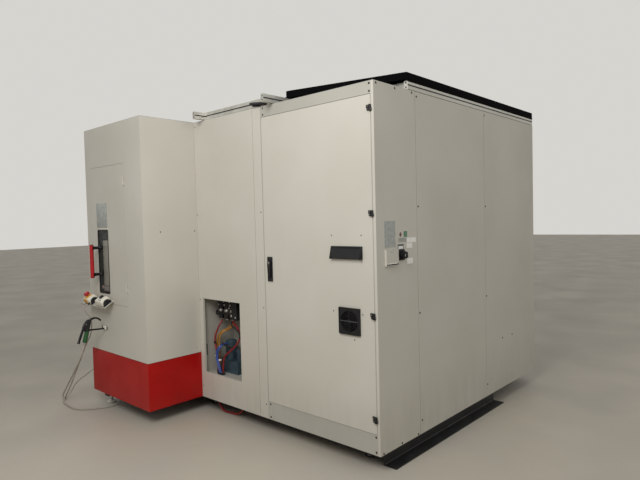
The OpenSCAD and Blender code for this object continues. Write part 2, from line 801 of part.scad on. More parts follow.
// Main switch on the side
module main_switch_plate() {
    color("#1e1e20") place() difference() {
        union() {
            block([0, 5], span(switch_y, switch_w), span(z_low + switch_up, switch_w));
            translate([5, switch_y, z_low + switch_up]) rotate([0, 90, 0]) cylinder(d = 52, h = 5);
        }
        translate([1, switch_y, z_low + switch_up]) rotate([0, 90, 0]) cylinder(d = 10 + 2 * run, h = 20);
    }
}
module main_switch_knob() {
    color("#161617") place() translate([0, switch_y, z_low + switch_up]) rotate([0, 90, 0]) {
        translate([0, 0, 2]) cylinder(d = 10, h = 10);
        translate([0, 0, 10 + play]) cylinder(d = 44, h = 8);
        translate([-26, -8, 10 + play]) cube([52, 16, knob_out - 10 - play]);
    }
}
pocket_y = 153;
pocket_z = [z_low + 1195, z_low + 1195 + pocket_h];
module document_pocket() {
    color("#bdbbb2") place() difference() {
        block([0, pocket_d], span(pocket_y, pocket_w), pocket_z);
        block([sheet, pocket_d - sheet], span(pocket_y, pocket_w - 2 * sheet),
            [pocket_z[0] + sheet, pocket_z[1] + eps]);
        block([pocket_d - sheet - eps, pocket_d + eps], span(pocket_y, 40),
            [pocket_z[1] - 22, pocket_z[1] + eps]);
    }
}

// Service compartment behind the opening
service_out_x = [post_at[2][0] + post_w, service_x[1] + 150];
drain_x = [service_x[0] + 40, service_x[0] + 390];
drain_y = 108;
module service_box() {
    z = [service_z[0] - 24, service_z[1] + 40];
    y = [return_d, return_d + service_d];
    color("#a8a69e") place() {
        difference() {
            block(service_out_x, y, z);
            block(inset(service_out_x, sheet), [y[0] - eps, y[1] - sheet], inset(z, sheet));
        }
        for (x = drain_x) translate([x, drain_y, z[0] - 20]) cylinder(d = 26, h = 20 + sheet / 2);
    }
}
valve_y = [return_d + 150, return_d + service_d - sheet];
module valve_block() {
    x0 = service_x[0];
    z1 = service_z[1] - 8;
    color("#19191b") place() {
        block([x0, x0 + 250], [valve_y[0] + 30, valve_y[1]], [z1 - 100, z1]);
        for (i = [0:2]) translate([x0 + 45 + i * 78, valve_y[0] - 10, z1 - 128]) cylinder(d = 52, h = 128 - 4);
        for (i = [0:2]) translate([x0 + 45 + i * 78, valve_y[0] - 10, z1 - 178]) {
            cylinder(d = 42, h = 50 - play);
        }
        block([x0 + 45, x0 + 201], [valve_y[0] - 22, valve_y[0] + 2], [z1 - 70, z1 - 40]);
        for (i = [0:2])
            block(span(x0 + 45 + i * 78, 24), [valve_y[0] - 10, valve_y[0] + 31], [z1 - 70, z1 - 40]);
    }
}
pump_x = [service_x[0] + 8, service_x[0] + 258];
module fluid_pump() {
    z0 = service_z[0] - 24 + sheet;
    color("#5d7780") place() {
        block(pump_x, [return_d + 130, return_d + 290], [z0, z0 + 110]);
        translate([pump_x[0] + 70, return_d + 210, z0 + 110]) cylinder(d = 96, h = 150);
        translate([pump_x[0] + 180, return_d + 210, z0 + 110]) cylinder(d = 60, h = 90);
    }
}

// A swept tube with flat ends along a list of points
function unit(v) = v / norm(v);
function tangent(p, i) = unit(p[min(i + 1, len(p) - 1)] - p[max(i - 1, 0)]);
function side_of(t) = unit(abs(t[2]) > 0.94 ? cross(t, [0, 1, 0]) : cross(t, [0, 0, 1]));
function blend4(a, b, c, d, t) = 0.5 * ((2 * b) + (c - a) * t + (2 * a - 5 * b + 4 * c - d) * t * t
    + (3 * b - a - 3 * c + d) * t * t * t);
function smooth(p, n) = [for (i = [0:len(p) - 2]) for (k = [0:n - 1])
    blend4(p[max(i - 1, 0)], p[i], p[i + 1], p[min(i + 2, len(p) - 1)], k / n), p[len(p) - 1]];
function frames(p, i = 0, last = undef, out = []) = i == len(p) ? out :
    let (t = tangent(p, i),
        s = i == 0 ? side_of(t) : unit(last - t * (last * t)))
    frames(p, i + 1, s, concat(out, [[s, cross(t, s)]]));
module tube(points, d, sides = 8, n = 3) {
    p = smooth(points, n);
    f = frames(p);
    ring = [for (i = [0:len(p) - 1]) for (k = [0:sides - 1])
        p[i] + (d / 2) * (cos(360 * k / sides) * f[i][0] + sin(360 * k / sides) * f[i][1])];
    faces = concat([[for (k = [0:sides - 1]) k]],
        [for (i = [0:len(p) - 2]) for (k = [0:sides - 1])
            [i * sides + k, (i + 1) * sides + k, (i + 1) * sides + (k + 1) % sides,
                i * sides + (k + 1) % sides]],
        [[for (k = [sides - 1:-1:0]) (len(p) - 1) * sides + k]]);
    polyhedron(ring, faces);
}

// Hoses in the service compartment, from the valves and the back wall to the floor
hose_x = service_x[0] + 45;
hose_y = valve_y[0] - 10;
hose_z = service_z[1] - 186 - play;
floor_z = service_z[0] - 24 + sheet + play;
function moved(points, v) = [for (p = points) p + v];
red_a = [[0, 0, 0], [0, 0, -12], [0, 0, -25], [-6, -28, -68], [-24, -54, -141], [-27, -60, -208],
    [-8, -64, -262], [12, -64, -326], [16, -64, -392], [20, -64, floor_z + 25 - hose_z],
    [20, -64, floor_z - hose_z]];
red_b = [[156, 0, 0], [156, 0, -12], [156, 0, -25], [221, -8, -61], [270, -28, -100], [300, -48, -132],
    [264, -58, -192], [198, -68, -249], [129, -76, -305], [105, -78, -380], [100, -78, floor_z + 25 - hose_z],
    [100, -78, floor_z - hose_z]];
yellow_z = service_z[1] - 108 - play;
yellow = [[28, 104, 0], [28, 104, -13], [28, 104, -27], [30, 84, -130], [20, 40, -176], [4, -4, -192],
    [-20, -28, -228], [-34, -33, -290], [-30, -36, -370], [-24, -38, -450],
    [-22, -38, floor_z + 25 - yellow_z], [-22, -38, floor_z - yellow_z]];
blue = [[133, 58, floor_z], [133, 58, floor_z + 15], [133, 58, floor_z + 30], [116, 58, 400],
    [90, 60, 474], [107, 62, 535], [130, 74, 566], [110, 108, 572], [78, 138, 565], [78, 152, 565],
    [78, 166, 565], [78, return_d + 162 - play, 565]];
module red_hoses() {
    color("#a8252a") place() for (p = [red_a, red_b]) tube(moved(p, [hose_x, hose_y, hose_z]), 16);
}
module small_hoses() {
    place() {
        color("#c08a2c") for (i = [0, 1])
            tube(moved(yellow, [hose_x + 26 * i, hose_y + 3 * i, yellow_z]), 14);
        color("#3c5a9c") for (i = [0:2]) tube(moved(blue, [service_x[0] + 12 * (i - 1), 0, 0]), 10);
    }
}

// Coolant gun in its holder
gun_at = [-2600, y_box - holder_out, z_low + holder_up];
module on_gun() {
    translate(gun_at) rotate([-gun_tilt, 0, 0]) children();
}
function gun_point(z) = gun_at + [0, z * sin(gun_tilt), z * cos(gun_tilt)];
clip_w = 7;
module gun_holder() {
    foot_z = gun_at[2] - 13;
    color("#1e1e20") place() {
        block([gun_at[0] - 69, gun_at[0] + 42], [y_box - 4, y_box], [foot_z - 10, foot_z + 25]);
        bar([gun_at[0], y_box - 3, foot_z], gun_at + [0, gun_d / 2 + 2.5, -5], 12);
        on_gun() difference() {
            translate([0, 0, -8]) cylinder(d = gun_d + 2 * clip_w, h = 16);
            translate([0, 0, -9]) cylinder(d = gun_d + 2 * play, h = 18);
            block([-gun_d / 2 + 4, gun_d / 2 - 4], [-gun_d, -6], [-9, 9]);
        }
    }
}
nozzle_bend = [gun_at[0], y_box - 68, z_low + 690];
nozzle_end = [gun_at[0], y_box - 42, z_low + 668];
lever_pin = [-26, 45];
lever_w = 14;
grip_low = -108;
module coolant_gun() {
    color("#202224") place() {
        on_gun() {
            translate([0, 0, -9]) cylinder(d = gun_d, h = 96);
            translate([0, 0, grip_low]) cylinder(d = gun_grip_d, h = -9 - grip_low);
            translate([0, 0, grip_low - 22]) cylinder(d = 22, h = 23);
            // Ears and pin of the lever
            difference() {
                block(span(0, 24), [-33, -8], [37, 53]);
                block(span(0, lever_w + 2 * play), [-34, gun_d / -2 - 1], [36, 54]);
            }
            translate([-12, lever_pin[0], lever_pin[1]]) rotate([0, 90, 0]) cylinder(d = 6, h = 24);
        }
        bar(gun_point(80), nozzle_bend, nozzle_d);
        translate(nozzle_bend) sphere(d = nozzle_d);
        bar(nozzle_bend, nozzle_end, nozzle_d);
        bar((nozzle_bend + nozzle_end) / 2, nozzle_end, nozzle_d + 5);
    }
}
module gun_trigger() {
    color("#18181a") place() on_gun() translate([-lever_w / 2, 0, 0]) rotate([90, 0, 90]) difference() {
        union() {
            translate([lever_pin[0], lever_pin[1], 0]) cylinder(d = 15, h = lever_w);
            linear_extrude(height = lever_w)
                polygon([lever_tip, [-38, -106], [-34, -60], [-27, 0], lever_pin + [4, -5],
                    lever_pin + [-4, -5], [-35, 2], [-41, -58]]);
        }
        translate([lever_pin[0], lever_pin[1], -eps]) cylinder(d = 6 + 2 * run, h = lever_w + 2 * eps);
    }
}

// Screws of the panels
module screw_y(x, y, z, dir) {
    translate([x, y, z]) rotate([dir > 0 ? -90 : 90, 0, 0]) cylinder(d = screw_d, h = screw_proud, $fn = 20);
}
module screw_x(x, y, z, dir) {
    translate([x, y, z]) rotate([0, dir > 0 ? 90 : -90, 0]) cylinder(d = screw_d, h = screw_proud, $fn = 20);
}
side_screws = [
    [27, 2337], [230, 2335], [428, 2337], [485, 2319], [1504, 2320], [484, 1575], [1504, 1577], [484, 843],
    [1504, 837], [489, 94], [1504, 98], [34, 10], [239, 12], [437, 11], [1802, 435], [2002, 432],
];
module panel_screws() {
    color("#26262a") place() {
        for (s = side_screws) screw_x(0, s[0], z_low + s[1], 1);
        for (x = [-1020, -24 - 8]) for (z = [20, 117, 2287, 2335]) screw_y(x, 0, z_low + z, -1);
        for (x = [x_left + 60, x_left / 2, -60]) for (z = [40, panel_h - 40]) screw_y(x, y_rear, z_low + z, 1);
        for (y = [60, side_split + 60, y_rear - 60]) for (z = [40, panel_h - 40])
            screw_x(x_left, y, z_low + z, -1);
    }
}

// Front door with its hinge knuckles
module door_knuckles(which) {
    for (z = [door_z[0] + 120, door_z[1] - 180]) translate([door_pivot[0], door_pivot[1], z])
        if (which == 0) {
            cylinder(d = 10, h = 30 - play);
            translate([0, 0, 29]) cylinder(d = 5, h = 29);
            block([0, 16], [3, 6], [0, 30 - play]);
        } else difference() {
            union() {
                translate([0, 0, 30]) cylinder(d = 10, h = 30);
                block([-16, 0], [3, 6], [30, 60]);
            }
            translate([0, 0, 29]) cylinder(d = 5 + 2 * run, h = 32);
        }
}
module front_door() {
    color(paint) place() {
        difference() {
            tray_y(door_x, y_box, door_z, depth = door_t);
            block(win_x, [y_box - eps, y_box + sheet + eps], win_z);
        }
        door_knuckles(1);
    }
}
module door_window() {
    color("#3a3f40", 0.5) place()
        block([win_x[0] - seal_w, win_x[1] + seal_w], [y_box + sheet, y_box + sheet + pane_t],
            [win_z[0] - seal_w, win_z[1] + seal_w]);
}
grip_z = door_z[0] + grip_mid;
module door_handle() {
    color("#a5121f") place() {
        translate([grip_x, y_box - grip_out, grip_z - grip_l / 2]) cylinder(d = grip_d, h = grip_l);
        for (s = [-1, 1]) translate([grip_x, y_box + sheet, grip_z + s * (grip_l / 2 - 30)])
            rotate([90, 0, 0]) cylinder(d = standoff_d, h = grip_out + sheet);
    }
}

// Pendant shelf and the two pendants
shelf_x = [x_left + shelf_left, x_left + shelf_left + shelf_w];
shelf_z = door_z[0] + shelf_up;
shelf_y = y_box - shelf_t * sin(shelf_tilt);
function shelf_point(p) = [p[0], shelf_y + p[1] * cos(shelf_tilt) - p[2] * sin(shelf_tilt),
    shelf_z + p[1] * sin(shelf_tilt) + p[2] * cos(shelf_tilt)];
module on_shelf() {
    translate([0, shelf_y, shelf_z]) rotate([shelf_tilt, 0, 0]) children();
}
module pendant_shelf() {
    color(paint) place() {
        on_shelf() {
            block(shelf_x, [-shelf_l, 0], [-shelf_t, 0]);
            block(shelf_x, [-shelf_l - shelf_t, -shelf_l], [-shelf_t, lip_h]);
        }
        // Flange against the door
        block(shelf_x, [y_box - shelf_t, y_box], [shelf_z - 26, shelf_z - 1]);
    }
}
module round_block(x, y, z, r) {
    translate([0, 0, z[0]]) linear_extrude(height = z[1] - z[0]) {
        translate([x[0] + r, y[0]]) square([x[1] - x[0] - 2 * r, y[1] - y[0]]);
        translate([x[0], y[0] + r]) square([x[1] - x[0], y[1] - y[0] - 2 * r]);
        for (cx = inset(x, r)) for (cy = inset(y, r)) translate([cx, cy]) circle(r = r);
    }
}
pendant_y = [-shelf_l + 4, -14];
pendant_mid = (pendant_y[0] + pendant_y[1]) / 2;
module pendant_body(x) {
    round_block(x, pendant_y, [play, 12], 12);
    round_block(inset(x, 2), inset(pendant_y, 2), [11, pendant_h], 14);
    // Arched hand grip at the right side
    translate([x[1] - 4, pendant_mid, 10]) intersection() {
        difference() {
            cylinder(d = 70, h = pendant_h - 24);
            translate([0, 0, -eps]) cylinder(d = 46, h = pendant_h);
        }
        block([0, 18], [-40, 40], [0, pendant_h - 24]);
    }
}
module well(x, y, z, d) {
    translate([x, y, z[0]]) cylinder(d = d, h = z[1] - z[0]);
}
stop_x = [shelf_x[0] + 66, shelf_x[0] + 66 + stop_w];
wheel_pendant_x = [shelf_x[1] - 16 - wheel_pendant_w, shelf_x[1] - 16];
gland_x = stop_x[1] - 10;
stop_at = [stop_x[0] + 54, pendant_mid + 2];
dial_at = [wheel_pendant_x[0] + 60, pendant_mid + 14];
gland_end = pendant_y[0] - 20;
button_d = 16;
press = 4;
module stop_pendant() {
    color("#e8e2cf") place() on_shelf() {
        difference() {
            union() {
                pendant_body(stop_x);
                well(stop_at[0], stop_at[1], [pendant_h - 1, pendant_h + 6], 32);
            }
            well(stop_at[0], stop_at[1], [pendant_h - 18, pendant_h + 7], button_d + 2 * play);
        }
        translate([gland_x, pendant_y[0] + 3, 24]) rotate([90, 0, 0]) cylinder(d = 15, h = 23);
    }
}
module wheel_pendant() {
    color("#e6e2d8") place() on_shelf() difference() {
        pendant_body(wheel_pendant_x);
        well(dial_at[0], dial_at[1], [pendant_h - 16, pendant_h + 1], 8 + 2 * run);
    }
}
module stop_button() {
    color("#c8141c") place() on_shelf() {
        well(stop_at[0], stop_at[1], [pendant_h - 18 + press + 1, pendant_h + 20], button_d);
        well(stop_at[0], stop_at[1], [pendant_h + 18, pendant_h + 32], mushroom_d);
    }
}
module handwheel_dial() {
    color("#1a1a1c") place() on_shelf() {
        well(dial_at[0], dial_at[1], [pendant_h - 15, pendant_h + 2], 8);
        well(dial_at[0], dial_at[1], [pendant_h + play, pendant_h + 11], dial_d);
        well(dial_at[0] + dial_d / 2 - 7, dial_at[1], [pendant_h + 10, pendant_h + 18], 7);
    }
}

// Free hoses and cables
hose_route = concat([gun_point(grip_low - 22 - play), gun_point(grip_low - 42), gun_point(grip_low - 60)],
    [[-2625, -718, 500], [-2710, -705, 430], [-2825, -700, 330], [-2935, -700, 225], [-3025, -702, 135],
    [-3080, -706, 70], [-3060, -712, 14], [-2985, -717, 8], [-2850, -722, 8], [-2760, -700, 8],
    [-2690, -640, 8], [-2640, -560, 8], [-2610, -470, 10], [-2600, -390, 34], [-2625, -340, 74]],
    [for (d = [60, 30, play]) hose_fit + [d, 0, 0]]);
cable_route = concat([for (d = [play, 20, 35]) shelf_point([gland_x, gland_end - d, 24])],
    [[-2672, -658, 890], [-2662, -640, 855], [-2655, -612, 810], [-2655, -605, 750], [-2660, -612, 680],
    [-2690, -640, 590], [-2750, -660, 480],
    [-2885, -658, 320], [-2990, -664, 180], [-3075, -670, 80], [-3140, -668, 22], [-3185, -635, 10],
    [-3180, -598, 45], [-3130, -575, 125], [-3060, -555, 185], [-2990, -530, 232], [-2940, -508, 270]],
    [for (d = [32, 16, play]) cable_gland - [d, 0, 0]]);
drain_route = concat([for (d = [play, 30, 60]) [drain_x[0], drain_y, service_z[0] - 44 - d]],
    [[-1806, 100, 150], [-1780, 88, 60], [-1705, 82, 13], [-1616, 88, 13], [-1540, 98, 17], [-1478, 104, 70],
    [-1459, 107, 160]],
    [for (d = [60, 30, play]) [drain_x[1], drain_y, service_z[0] - 44 - d]]);
module gun_hose() {
    color("#5a5650") place() tube(hose_route, hose_d, n = 2);
}
module pendant_cable() {
    color("#77736c") place() tube(cable_route, cable_d, n = 2);
}
module drain_hose() {
    color("#7c1d20") place() tube(drain_route, 16, n = 2);
}

// Gantry: traverse on the bed, cross slide and spindle ram
guide_front_z = [trav_z[0] + 70, trav_z[1] - 70];
ram_guide_x = [mid_x - 90, mid_x + 90];
module small_profile(gap = 0) {
    guide_profile(small_guide[0], small_guide[1], gap);
}
module traverse() {
    foot_y = [trav_y[0] - 60, trav_y[1] + 60];
    bays = 5;
    bay = (bed_out[1] - bed_out[0] - 120) / bays;
    magnet_l = 80;
    magnets = floor((bed_out[1] - bed_out[0] - 2 * magnet_l) / magnet_l);
    color("#9aa0a4") place() {
        difference() {
            union() {
                block(bed_out, trav_y, trav_z);
                for (x = guide_x) block(span(x, 150), foot_y, [bed_top + 4, trav_z[0] + 1]);
            }
            for (x = guide_x) translate([x, foot_y[1] + eps, bed_top]) rotate([90, 0, 0])
                linear_extrude(height = foot_y[1] - foot_y[0] + 2 * eps) guide_profile(guide_w, guide_h, play);
            // Open bays between the ribs at the back
            for (i = [0:bays - 1]) block([bed_out[0] + 60 + i * bay + 15, bed_out[0] + 45 + (i + 1) * bay],
                [trav_y[0] + 90, trav_y[1] + eps], inset(trav_z, 60));
        }
        for (z = guide_front_z) translate([bed_out[0] + 30, trav_y[0], z]) rotate([90, 0, 90])
            linear_extrude(height = bed_out[1] - bed_out[0] - 60) rotate(90) small_profile();
        // Magnet track of the linear motor
        for (i = [1:magnets]) block([bed_out[0] + i * magnet_l, bed_out[0] + (i + 1) * magnet_l - 6],
            [trav_y[0] - 8, trav_y[0] + eps], [guide_front_z[0] + 110, guide_front_z[1] - 110]);
    }
}
module x_slide() {
    z = [trav_z[0] - 50, trav_z[1] - 10];
    gap = 4;
    color("#8b9094") place() {
        block(span(mid_x, 420), slide_y, z);
        difference() {
            for (x = ram_guide_x) for (k = [0, 1])
                block(span(x, 76), [home_y + ram_w / 2 + gap, slide_y[0] + eps],
                    [z[0] + 125 * k, z[0] + 125 * k + 95]);
            for (x = ram_guide_x) translate([x, home_y + ram_w / 2, z[0] - eps])
                linear_extrude(height = z[1] - z[0]) small_profile(play);
        }
        difference() {
            for (q = guide_front_z) for (x = [mid_x - 195, mid_x + 105])
                block([x, x + 90], [slide_y[1] - eps, trav_y[0] - gap], span(q, 76));
            for (q = guide_front_z) translate([mid_x - 220, trav_y[0], q]) rotate([90, 0, 90])
                linear_extrude(height = 440) rotate(90) small_profile(play);
        }
    }
}
rotor_d = 90;
module spindle_ram() {
    c = 24;
    w = ram_w / 2;
    color("#b5b8ba") place() translate([mid_x, home_y, 0]) {
        difference() {
            union() {
                translate([0, 0, ram_z[0]]) linear_extrude(height = ram_z[1] - ram_z[0])
                    polygon([[-w + c, -w], [w - c, -w], [w, -w + c], [w, w], [-w, w], [-w, -w + c]]);
                translate([0, 0, nose_z + 30]) cylinder(d = 180, h = ram_z[0] - nose_z - 29);
                translate([0, 0, nose_z + 60]) cylinder(d = 220, h = ram_z[0] - nose_z - 59);
            }
            translate([0, 0, nose_z + 29]) cylinder(d = rotor_d + 2 * run, h = 203);
        }
        for (x = ram_guide_x) translate([x - mid_x, w, ram_z[0] + 6])
            linear_extrude(height = ram_z[1] - ram_z[0] - 12) small_profile();
    }
}
module spindle_rotor() {
    color("#d5d7d9") place() translate([mid_x, home_y, nose_z]) difference() {
        union() {
            cylinder(d = 118, h = 28);
            translate([0, 0, 27]) cylinder(d = rotor_d, h = 203);
        }
        translate([0, 0, -eps]) cylinder(d = taper_d, h = 62 + eps);
        translate([0, 0, 60]) cylinder(d = 25, h = 120);
    }
}

// Trunnion with the rotary table
arm_in = bed_gap / 2;
table_top = -64;
module at_trunnion() {
    place() translate([mid_x, axis_y, trunnion_z]) children();
}
module trunnion_cradle() {
    hub_d = 220;
    color("#7f8488") at_trunnion() difference() {
        union() {
            for (s = [0, 1]) mirror([s, 0, 0]) {
                translate([arm_in - play - 44, 0, 0]) rotate([0, 90, 0]) cylinder(d = 400, h = 44);
                translate([arm_in - play - eps, 0, 0]) rotate([0, 90, 0])
                    cylinder(d = journal_d - 2 * run, h = bed_wall);
                block([arm_in - play - 80, arm_in - play - 20], [-150, 150], [-300, 60]);
            }
            block([-arm_in + play + 20, arm_in - play - 20], [-200, 200], [-300, -215]);
            translate([0, 0, -216]) cylinder(d = 420, h = 91);
        }
        translate([0, 0, -238]) cylinder(d = hub_d + 2 * run, h = 120);
        translate([0, 0, -301]) cylinder(d = 90, h = 100);
    }
}
module rotary_table() {
    color("#c3c6c9") at_trunnion() difference() {
        union() {
            translate([0, 0, -125 + play]) cylinder(d = table_d, h = table_top + 125 - play);
            translate([0, 0, -232]) cylinder(d = 220, h = 110);
        }
        translate([0, 0, -233]) cylinder(d = centre_bore_d, h = 240);
        for (y = [-189, -63, 63, 189]) {
            block([-table_d, table_d], span(y, 14), [table_top - 13, table_top + eps]);
            block([-table_d, table_d], span(y, 24), [table_top - 22, table_top - 12]);
        }
    }
}

// Tool magazine: wheel on its stand
hub_x = [wheel_x - 60, wheel_x + 60];
stand_x = [wheel_x + 120, wheel_x + 180];
axle_d = 80;
module along_x(x, d) {
    translate([x[0], wheel_y, wheel_z]) rotate([0, 90, 0]) cylinder(d = d, h = x[1] - x[0]);
}
module magazine_stand() {
    feet_y = [cross_y[1] + 10, cross_y[2] + 90];
    color("#55595d") place() {
        translate([stand_x[0], 0, 0]) rotate([90, 0, 90]) linear_extrude(height = stand_x[1] - stand_x[0])
            difference() {
                polygon([[feet_y[0], beam_h], [feet_y[1], beam_h], [feet_y[1], beam_h + 60],
                    [wheel_y + 80, wheel_z + 100], [wheel_y - 80, wheel_z + 100], [feet_y[0], beam_h + 60]]);
                polygon([[feet_y[0] + 120, beam_h + 80], [feet_y[1] - 120, beam_h + 80],
                    [wheel_y + 30, wheel_z - 170], [wheel_y - 30, wheel_z - 170]]);
            }
        along_x([hub_x[0] - 12, stand_x[0] + eps], axle_d);
        along_x([hub_x[0] - 14, hub_x[0] - play], axle_d + 50);
        along_x([hub_x[1] + play, stand_x[0] + eps], axle_d + 50);
    }
}
module tool(i) {
    mill_d = 10 + 6 * (i % 5);
    cylinder(d = 63, h = 18);
    cylinder(d = 46, h = 26);
    cylinder(d = 63, h = 8);
    translate([0, 0, 25]) cylinder(d = 40, h = 50);
    translate([0, 0, 74]) cylinder(d = mill_d, h = 40 + 10 * (i % 4));
}
module magazine_wheel() {
    rim_x = [wheel_x - 30, wheel_x + 30];
    pitch_r = wheel_d / 2 - 60;
    color("#a3a7aa") place() {
        difference() {
            union() {
                difference() {
                    along_x(rim_x, wheel_d);
                    along_x([rim_x[0] - eps, wheel_x - 8], wheel_d - 240);
                    along_x([wheel_x + 8, rim_x[1] + eps], wheel_d - 240);
                }
                along_x(hub_x, 220);
                for (k = [0:5]) translate([0, wheel_y, wheel_z]) rotate([k * 60, 0, 0])
                    block([wheel_x - 24, wheel_x + 24], [100, wheel_d / 2 - 110], [-14, 14]);
            }
            along_x([hub_x[0] - eps, hub_x[1] + eps], axle_d + 2 * run);
        }
        for (i = [0:tool_count - 1]) translate([0, wheel_y, wheel_z]) rotate([i * 360 / tool_count, 0, 0])
            translate([rim_x[0] + eps, pitch_r, 0]) rotate([0, -90, 0]) tool(i);
    }
}

base_beams();
base_cross_members();
levelling_feet();
machine_bed();
y_guide_rails();
work_cabin();
enclosure_posts();
side_panel_front();
side_panel_middle();
side_panel_rear();
rear_panels();
left_panels();
middle_panel();
pillar_strip();
front_box();
red_skirt();
roof_plate();
roof_rails();
roof_cover();
cabinet_carcass();
mounting_plate();
drive_modules();
cabinet_hinges();
main_switch_plate();
document_pocket();
service_box();
valve_block();
fluid_pump();
red_hoses();
small_hoses();
gun_holder();
coolant_gun();
panel_screws();
magazine_stand();
gun_hose();
pendant_cable();
drain_hose();
cabinet_door();
door_fittings();
vent_hood();
fan_guard();
fan_rotor();
swing_handle();
main_switch_knob();
front_door();
door_window();
door_handle();
pendant_shelf();
stop_pendant();
wheel_pendant();
stop_button();
handwheel_dial();
gun_trigger();
traverse();
x_slide();
spindle_ram();
spindle_rotor();
trunnion_cradle();
rotary_table();
magazine_wheel();
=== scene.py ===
import math

import bmesh
import bpy
from mathutils import Matrix, Vector


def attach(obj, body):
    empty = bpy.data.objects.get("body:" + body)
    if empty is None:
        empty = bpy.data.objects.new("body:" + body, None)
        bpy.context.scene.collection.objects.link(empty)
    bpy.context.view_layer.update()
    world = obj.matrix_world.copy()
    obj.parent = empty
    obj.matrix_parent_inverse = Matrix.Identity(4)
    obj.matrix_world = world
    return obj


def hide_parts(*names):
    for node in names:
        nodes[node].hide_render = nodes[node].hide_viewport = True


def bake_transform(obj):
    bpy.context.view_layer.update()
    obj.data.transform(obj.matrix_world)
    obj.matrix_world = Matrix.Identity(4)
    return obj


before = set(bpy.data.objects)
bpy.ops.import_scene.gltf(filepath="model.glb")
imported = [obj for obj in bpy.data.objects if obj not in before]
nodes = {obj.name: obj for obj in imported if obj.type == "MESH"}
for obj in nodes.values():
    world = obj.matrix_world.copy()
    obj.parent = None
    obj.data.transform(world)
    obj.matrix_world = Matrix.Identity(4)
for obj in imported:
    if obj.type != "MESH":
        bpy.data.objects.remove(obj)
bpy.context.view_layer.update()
scene = bpy.context.scene

# The CAD plan in millimetres: x = 0 is the big side face, y = 0 the cabinet's front, z = 0 the floor
plan = {"shiftX": 1.4275, "shiftY": -0.8919125, "boxFront": -506.0, "panelLow": 120.0}
toMetres = Matrix.Translation((plan["shiftX"], plan["shiftY"], 0)) @ Matrix.Scale(0.001, 4)
boxFront = plan["boxFront"]
frontward, rightward = (0, -1, 0), (1, 0, 0)


def at(x, y, z):
    return toMetres @ Vector((x, y, z))


def shifted(x, y, z):
    return Matrix.Translation((x, y, z))


def turned(degrees, axis):
    return Matrix.Rotation(math.radians(degrees), 4, axis)


# Camera at the photograph's angle
camera = {"place": (1999.1, -2687.3, 1620.8), "yaw": 42.613, "pitch": -2.155, "roll": -1.429, "lens": 30.305}
cameraData = bpy.data.cameras.new("viewCamera")
cameraData.lens = camera["lens"]
cameraData.sensor_width = 36
cameraData.clip_end = 60
cameraObject = bpy.data.objects.new("viewCamera", cameraData)
cameraObject.matrix_world = (Matrix.Translation(at(*camera["place"])) @ turned(camera["yaw"], "Z")
                             @ turned(90 + camera["pitch"], "X") @ turned(camera["roll"], "Z"))
scene.collection.objects.link(cameraObject)
scene.camera = cameraObject
print("camera in place")


def hexColor(code):
    parts = [int(code[i:i + 2], 16) / 255 for i in (1, 3, 5)]
    linear = [c / 12.92 if c <= 0.04045 else ((c + 0.055) / 1.055) ** 2.4 for c in parts]
    return (*linear, 1.0)


def addNode(tree, kind, settings=None, values=None, links=None):
    node = tree.nodes.new(kind)
    for key, value in (settings or {}).items():
        setattr(node, key, value)
    for key, value in (values or {}).items():
        node.inputs[key].default_value = value
    for key, source in (links or {}).items():
        tree.links.new(source, node.inputs[key])
    return node


# Every finish starts here: two close tones in soft patches, uneven gloss and a fine relief, with the sizes
# of patches and grain and the depth of the relief in real millimetres
def makeFinish(name, tones, patchMm, rough, grainMm, reliefMm, stretch=(1, 1, 1), metallic=0.0, coat=0.0,
               alpha=1.0, ior=1.5):
    material = bpy.data.materials.new(name)
    material.use_nodes = True
    material.diffuse_color = hexColor(tones[0])
    tree = material.node_tree
    tree.nodes.clear()
    place = addNode(tree, "ShaderNodeTexCoord").outputs["Object"]
    stretched = addNode(tree, "ShaderNodeMapping", values={"Scale": stretch},
                        links={"Vector": place}).outputs[0]
    patch = addNode(tree, "ShaderNodeTexNoise", values={"Scale": 1000 / patchMm, "Detail": 4.0},
                    links={"Vector": stretched}).outputs[0]
    spread = addNode(tree, "ShaderNodeMapRange", values={"From Min": 0.35, "From Max": 0.65},
                     links={"Value": patch}).outputs[0]
    tone = addNode(tree, "ShaderNodeMix", {"data_type": "RGBA"},
                   {6: hexColor(tones[0]), 7: hexColor(tones[1])}, {0: spread}).outputs[2]
    gloss = addNode(tree, "ShaderNodeMapRange", values={"To Min": rough[0], "To Max": rough[1]},
                    links={"Value": spread}).outputs[0]
    grain = addNode(tree, "ShaderNodeTexNoise", values={"Scale": 1000 / grainMm, "Detail": 3.0},
                    links={"Vector": stretched}).outputs[0]
    relief = addNode(tree, "ShaderNodeBump", values={"Distance": reliefMm / 1000, "Strength": 0.6},
                     links={"Height": grain}).outputs[0]
    shader = addNode(tree, "ShaderNodeBsdfPrincipled",
                     values={"Metallic": metallic, "Coat Weight": coat, "Alpha": alpha, "IOR": ior},
                     links={"Base Color": tone, "Roughness": gloss, "Normal": relief})
    addNode(tree, "ShaderNodeOutputMaterial", links={"Surface": shader.outputs[0]})
    return {"material": material, "tree": tree, "place": place, "tone": tone, "shader": shader}


def plainFinish(*settings, **extras):
    return makeFinish(*settings, **extras)["material"]


# Adds a second tone over a finish where a pattern is high
def overlay(made, toneCode, factor):
    tree = made["tree"]
    mixed = addNode(tree, "ShaderNodeMix", {"data_type": "RGBA"}, {7: hexColor(toneCode)},
                    {0: factor, 6: made["tone"]})
    tree.links.new(mixed.outputs[2], made["shader"].inputs["Base Color"])
    made["tone"] = mixed.outputs[2]


# A tone laid low on standing sheet metal, thinning out upwards in streaks longer than they are wide:
# dust on the skirt and the beams; on the grey coat a darkening, partly dust and partly painted shade
dustAndShade = {"streakWideMm": 69.44, "streakTallMm": 312.5}


